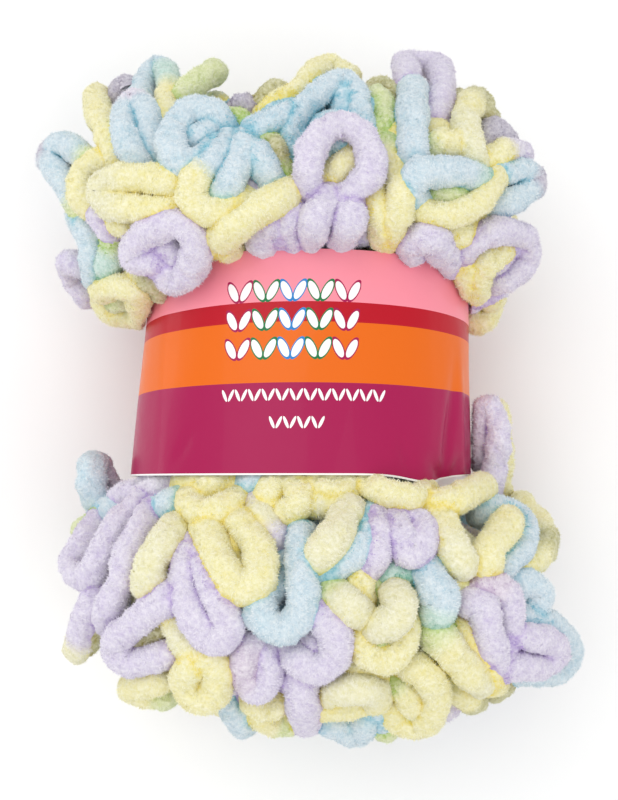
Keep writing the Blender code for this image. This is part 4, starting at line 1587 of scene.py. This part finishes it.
@dataclass(frozen=True)
class PrintFinish:
    """Glossy paper printed with four stripes and small patches of knit stitches."""

    stripes: tuple[tuple[float, Ink], ...] = (
        (0.0, Ink.WHITE), (0.007, Ink.PLUM), (0.403, Ink.ORANGE), (0.674, Ink.CRIMSON), (0.762, Ink.PINK),
    )
    badge: StitchPatch = StitchPatch(-4.6, 42.8, 5, 3, 7.6, 8.0, 7.0, 2.9)
    outlines: tuple[Ink, ...] = (Ink.PLUM, Ink.LEAF, Ink.SKY, Ink.LEAF, Ink.PLUM)
    rules: tuple[StitchPatch, ...] = (
        StitchPatch(-0.5, 22.0, 12, 1, 3.9, 4.6, 3.6, 0.9, 24.0),
        StitchPatch(-2.0, 14.4, 4, 1, 3.9, 4.6, 3.6, 0.9, 24.0),
    )
    roughness: float = 0.26
    roughness_spread: float = 0.16
    roughness_scale: float = 220.0
    bump_scale: float = 160.0
    bump_depth: float = 0.0004

    def colour(self, shader: Shader) -> Socket:
        """Print the stripes and the stitches on them.

        Args:
            shader: The shader to add nodes to.

        Returns:
            The printed colour, by the mesh's place on the print.
        """
        place = shader.node("ShaderNodeAttribute", attribute_name="print_place").outputs["Vector"]
        parts = shader.node("ShaderNodeSeparateXYZ")
        shader.feed(parts.inputs[0], place)
        arc, rise = parts.outputs[0], parts.outputs[1]
        share = shader.maths("DIVIDE", rise, BAND.height)
        colour = shader.ramp(share, [(start, linear(ink.value)) for start, ink in self.stripes])
        fill, whole, along = self.badge.masks(shader, arc, rise)
        count = len(self.outlines)
        outline = shader.ramp(along, [(i / count, linear(ink.value)) for i, ink in enumerate(self.outlines)])
        colour = shader.mix(whole, colour, outline)
        white = opaque(linear(Ink.WHITE.value))
        colour = shader.mix(fill, colour, white)
        for rule in self.rules:
            _, whole, _ = rule.masks(shader, arc, rise)
            colour = shader.mix(whole, colour, white)
        return colour

    def material(self) -> bpy.types.Material:
        """Make the material.

        Returns:
            The material.
        """
        shader = Shader("printed_paper")
        uneven = shader.noise(self.roughness_scale, 3)
        shine = shader.maths("MULTIPLY_ADD", uneven, self.roughness_spread, self.roughness)
        shader.set(Base_Color=self.colour(shader), Roughness=shine, Specular_IOR_Level=0.18,
                   Coat_Weight=0.1, Coat_Roughness=0.06)
        shader.bump(shader.noise(self.bump_scale, 3), 0.25, self.bump_depth)
        return shader.material


@dataclass(frozen=True)
class PlainPaperFinish:
    """The unprinted side and cut edges of the paper."""

    colour: Colour = (244, 242, 240)
    dim: float = 0.86
    fibre_scale: float = 1400.0
    bump_scale: float = 2600.0
    bump_depth: float = 0.0001

    def material(self) -> bpy.types.Material:
        """Make the material, faintly fibrous.

        Returns:
            The material.
        """
        shader = Shader("plain_paper")
        white = linear(self.colour)
        fibrous = shader.mix(shader.noise(self.fibre_scale, 4), opaque(white * self.dim), opaque(white))
        shader.set(Base_Color=fibrous, Roughness=0.7)
        shader.bump(shader.noise(self.bump_scale, 2), 0.2, self.bump_depth)
        return shader.material


class Wave(NamedTuple):
    """A shallow wave in the paper: its depth, and how long it is round the band and up it."""

    depth: float
    arc_length: float
    rise_length: float


class Dent(NamedTuple):
    """A soft crease in the paper, round the band and up from its bottom edge."""

    arc: float
    rise: float
    long: float
    wide: float
    slant: float
    depth: float


WAVES: tuple[Wave, ...] = (Wave(0.12, 9.0, 17.0), Wave(0.08, 4.3, -8.0))
DENTS: tuple[Dent, ...] = (
    Dent(-35.0, 8.5, 5.0, 1.4, 60.0, -0.6),
    Dent(30.0, 6.0, 5.0, 1.5, 115.0, -0.6),
    Dent(46.5, 10.0, 18.0, 2.0, 84.0, -1.5),
    Dent(53.5, 14.0, 20.0, 2.4, 96.0, 0.9),
    Dent(43.0, 2.0, 4.5, 1.8, 140.0, -1.3),
    Dent(50.0, 1.5, 5.0, 1.8, 50.0, -1.0),
    Dent(-46.0, 30.0, 26.0, 3.5, 92.0, 0.35),
    Dent(12.0, 56.0, 14.0, 4.0, 20.0, 0.25),
)


@dataclass(frozen=True)
class PaperBand:
    """The printed paper wrapped round the waist and lapped on the underside."""

    columns: int = 190
    rows: int = 38
    paper: float = 0.3
    inset: float = 0.35
    lap: float = 9.0
    lap_start: float = 0.2
    lap_rise: float = 0.32
    lip_arc: float = 38.0
    lip_width: float = 10.0
    lip_drop: float = 2.1
    lip_fade: int = 6
    sharpest: float = 50.0

    def piece(self) -> None:
        """Build the band with its print, white back, cut edges and lap."""
        lap = radians(self.lap)
        around = np.linspace(-pi / 2 - lap, 1.5 * pi, self.columns + 1)
        angle, share = np.meshgrid(around, np.linspace(0, 1, self.rows + 1), indexing="ij")
        arc, rise = self.arcs(angle, share), share * BAND.height
        under = 1 - eased(angle, -pi / 2 - lap * self.lap_start, -pi / 2 + lap)
        out = BAND.thickness - self.inset + self.relief(arc, rise) - self.lap_rise * under
        lip = np.exp(-(((arc - self.lip_arc) / self.lip_width) ** 2)) * (1 - share) ** self.lip_fade
        outer, inner = (BAND.place(angle, share, face) for face in (out, out - self.paper))
        outer[..., 1] -= self.lip_drop * lip
        inner[..., 1] -= self.lip_drop * lip
        self.sheet(outer, inner, arc, rise)

    def arcs(self, angle: np.ndarray, share: np.ndarray) -> np.ndarray:
        """Measure round the band.

        Args:
            angle: Angles round the ring.
            share: Shares of the height from the bottom edge.

        Returns:
            Millimetres to the right of the front's middle.
        """
        front = BAND.place(angle, share, np.full_like(angle, BAND.thickness))
        stretch = np.linalg.norm(np.diff(front, axis=0), axis=-1)
        arc = np.concatenate((np.zeros_like(stretch[:1]), np.cumsum(stretch, axis=0)))
        turn = angle[:, 0]
        middle = int(round((pi / 2 - turn[0]) / (turn[-1] - turn[0]) * self.columns))
        return arc[middle] - arc

    def relief(self, arc: np.ndarray, rise: np.ndarray) -> np.ndarray:
        """Find how far the paper stands out from its ring.

        Args:
            arc: Millimetres round the band at each place.
            rise: Millimetres up from its bottom edge at each place.

        Returns:
            The height of its waves and dents at each place.
        """
        relief = sum(wave.depth * np.sin(arc / wave.arc_length + rise / wave.rise_length) for wave in WAVES)
        for dent in DENTS:
            turn = radians(dent.slant)
            dx, dy = arc - dent.arc, rise - dent.rise
            along = dx * cos(turn) + dy * sin(turn)
            across = dy * cos(turn) - dx * sin(turn)
            relief += dent.depth * np.exp(-((along / dent.long) ** 2) - (across / dent.wide) ** 2)
        return relief

    def sheet(self, outer: np.ndarray, inner: np.ndarray, arc: np.ndarray, rise: np.ndarray) -> None:
        """Close the two faces of the paper to one mesh and dress it.

        Args:
            outer: Grid of places on the printed face.
            inner: Grid of places on the white back.
            arc: Millimetres round the band at each place.
            rise: Millimetres up from its bottom edge at each place.
        """
        grid = np.arange(arc.size).reshape(arc.shape)
        back = grid + grid.size
        edges = (
            (grid[:, 0], back[:, 0]), (back[:, -1], grid[:, -1]), (back[0], grid[0]), (grid[-1], back[-1]),
        )
        shown = np.stack((grid[:-1, 1:], grid[1:, 1:], grid[1:, :-1], grid[:-1, :-1]), axis=-1).reshape(-1, 4)
        unprinted = np.stack((back[1:, :-1], back[1:, 1:], back[:-1, 1:], back[:-1, :-1]), axis=-1)
        white = [unprinted.reshape(-1, 4)]
        for first, second in edges:
            white.append(np.stack((first[1:], second[1:], second[:-1], first[:-1]), axis=-1))
        faces = np.concatenate((shown, *white))
        mesh = fast_mesh("paper_band", np.concatenate((outer.reshape(-1, 3), inner.reshape(-1, 3))), faces)
        layer = mesh.attributes.new("print_place", "FLOAT_VECTOR", "POINT")
        place = np.stack((arc, rise, np.zeros_like(arc)), axis=-1).reshape(-1, 3)
        layer.data.foreach_set("vector", np.concatenate((place, place)).astype(np.float32).ravel())
        mesh.materials.append(PrintFinish().material())
        mesh.materials.append(PlainPaperFinish().material())
        mesh.polygons.foreach_set("material_index", (np.arange(len(faces)) >= len(shown)).astype(np.int32))
        mesh.shade_smooth()
        mesh.set_sharp_from_angle(angle=radians(self.sharpest))
        add_piece("paper_band", mesh, "band")


@dataclass(frozen=True)
class Panel:
    """A soft light: where it stands, its size in metres and its power in watts."""

    name: str
    place: tuple[float, float, float]
    size: tuple[float, float]
    power: float


PANELS: tuple[Panel, ...] = (
    Panel("key", (-0.50, 0.60, 1.40), (1.6, 1.6), 10.0),
    Panel("fill", (0.55, -0.75, 1.35), (1.6, 1.6), 7.0),
    Panel("left_strip", (-0.75, 0.0, 0.08), (0.7, 0.12), 0.6),
    Panel("right_strip", (0.75, 0.0, 0.12), (0.7, 0.12), 0.15),
)


@dataclass(frozen=True)
class Studio:
    """Floor, soft lights and the camera above the skein."""

    eye: tuple[float, float, float] = (0.5, -25.3, 470.0)
    aim: tuple[float, float, float] = (0.5, 0.7, 50.0)
    frame_height: float = 240.0
    sensor: float = 24.0
    nearest_seen: float = 0.01
    lit_height: float = 0.04
    sky: float = 0.72
    floor_side: float = 4.0
    floor_colour: Colour = (253, 253, 253)
    floor_dim: float = 0.985

    def build(self) -> None:
        """Set up the camera, the floor and the lights."""
        self.camera()
        self.floor()
        self.lights()

    def camera(self) -> None:
        """Set the camera so that the middle plane fills the frame at its true scale."""
        data = bpy.data.cameras.new("camera")
        camera = bpy.data.objects.new("camera", data)
        bpy.context.scene.collection.objects.link(camera)
        eye, aim = Vector(self.eye) * MM, Vector(self.aim) * MM
        camera.location = eye
        camera.rotation_euler = (aim - eye).to_track_quat("-Z", "Y").to_euler()
        data.sensor_fit = "VERTICAL"
        data.sensor_height = self.sensor
        data.lens = self.sensor * (aim - eye).length / (self.frame_height * MM)
        data.clip_start = self.nearest_seen
        bpy.context.scene.camera = camera

    def floor(self) -> None:
        """Lay the pale floor that the skein rests on."""
        half = self.floor_side / 2
        corners = [(-half, -half, 0), (half, -half, 0), (half, half, 0), (-half, half, 0)]
        mesh = bpy.data.meshes.new("floor")
        mesh.from_pydata(corners, [], [(0, 1, 2, 3)])
        shader = Shader("pale_floor")
        pale = linear(self.floor_colour)
        mottled = shader.mix(shader.noise(3.0, 2), opaque(pale), opaque(pale * self.floor_dim))
        shader.set(Base_Color=mottled, Roughness=0.9)
        mesh.materials.append(shader.material)
        floor = bpy.data.objects.new("floor", mesh)
        bpy.context.scene.collection.objects.link(floor)
        floor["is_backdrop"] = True

    def lights(self) -> None:
        """Hang the soft panels and light the sky evenly."""
        for panel in PANELS:
            data = bpy.data.lights.new(panel.name, "AREA")
            data.shape = "RECTANGLE"
            data.size, data.size_y = panel.size
            data.energy = panel.power
            light = bpy.data.objects.new(panel.name, data)
            light.location = panel.place
            towards = Vector((0, 0, self.lit_height)) - Vector(panel.place)
            light.rotation_euler = towards.to_track_quat("-Z", "Y").to_euler()
            bpy.context.scene.collection.objects.link(light)
        world = bpy.data.worlds.new("studio")
        world.use_nodes = True
        sky = world.node_tree.nodes["Background"]
        sky.inputs["Color"].default_value = (1, 1, 1, 1)
        sky.inputs["Strength"].default_value = self.sky
        bpy.context.scene.world = world
        bpy.context.scene.view_settings.view_transform = "Standard"


@dataclass(frozen=True)
class Skein:
    """The whole dressed skein."""

    yarn: Yarn = Yarn()
    fuzz: Fuzz = Fuzz()
    shown_fibres: int = 170_000
    hidden_fibres: int = 65_000

    def build(self) -> None:
        """Build the strands, their fuzz and the heart of both bunches."""
        plush = PlushFinish().material()
        fibres = FibreFinish().materials()
        Heart().piece(plush)
        seed = 1
        for name, bunch, rows in (("upper", TOP_BUNCH, TOP_STRANDS), ("lower", BOTTOM_BUNCH, BOTTOM_STRANDS)):
            shown = self.yarn.shown(bunch, rows)
            wound = Winding(bunch, phase=1.0 * seed).course()
            fillers = self.yarn.filling.courses(bunch, rows, self.yarn.clearance)
            hidden = [wound, *self.yarn.hidden(bunch, seed), *fillers]
            for part, own, others, count in (
                ("front", shown, hidden, self.shown_fibres), ("back", hidden, shown, self.hidden_fibres)
            ):
                skin = self.yarn.skin(own)
                self.yarn.painted_crease_shade.shade(skin, own, others, bunch)
                mesh = fast_mesh(f"{name}_{part}_loops", skin.places, skin.quads)
                # Vertex colours with painted crease shade
                paint(mesh, skin.colours())
                mesh.materials.append(plush)
                mesh.shade_smooth()
                add_piece(f"{name}_{part}_loops", mesh, "skein")
                self.fuzz.piece(f"{name}_{part}_fuzz", skin, count, fibres, seed)
                seed += 1


def corners() -> list[list[float]]:
    """Lowest and highest corners of what is shown, as plain lists."""
    return [[float(value) for value in corner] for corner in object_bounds()]


def main() -> None:
    """Build the studio, the band and the dressed skein."""
    logging.basicConfig(level=logging.INFO)
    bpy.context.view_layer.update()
    Studio().build()
    PaperBand().piece()
    Skein().build()


if __name__ == "__main__":
    main()
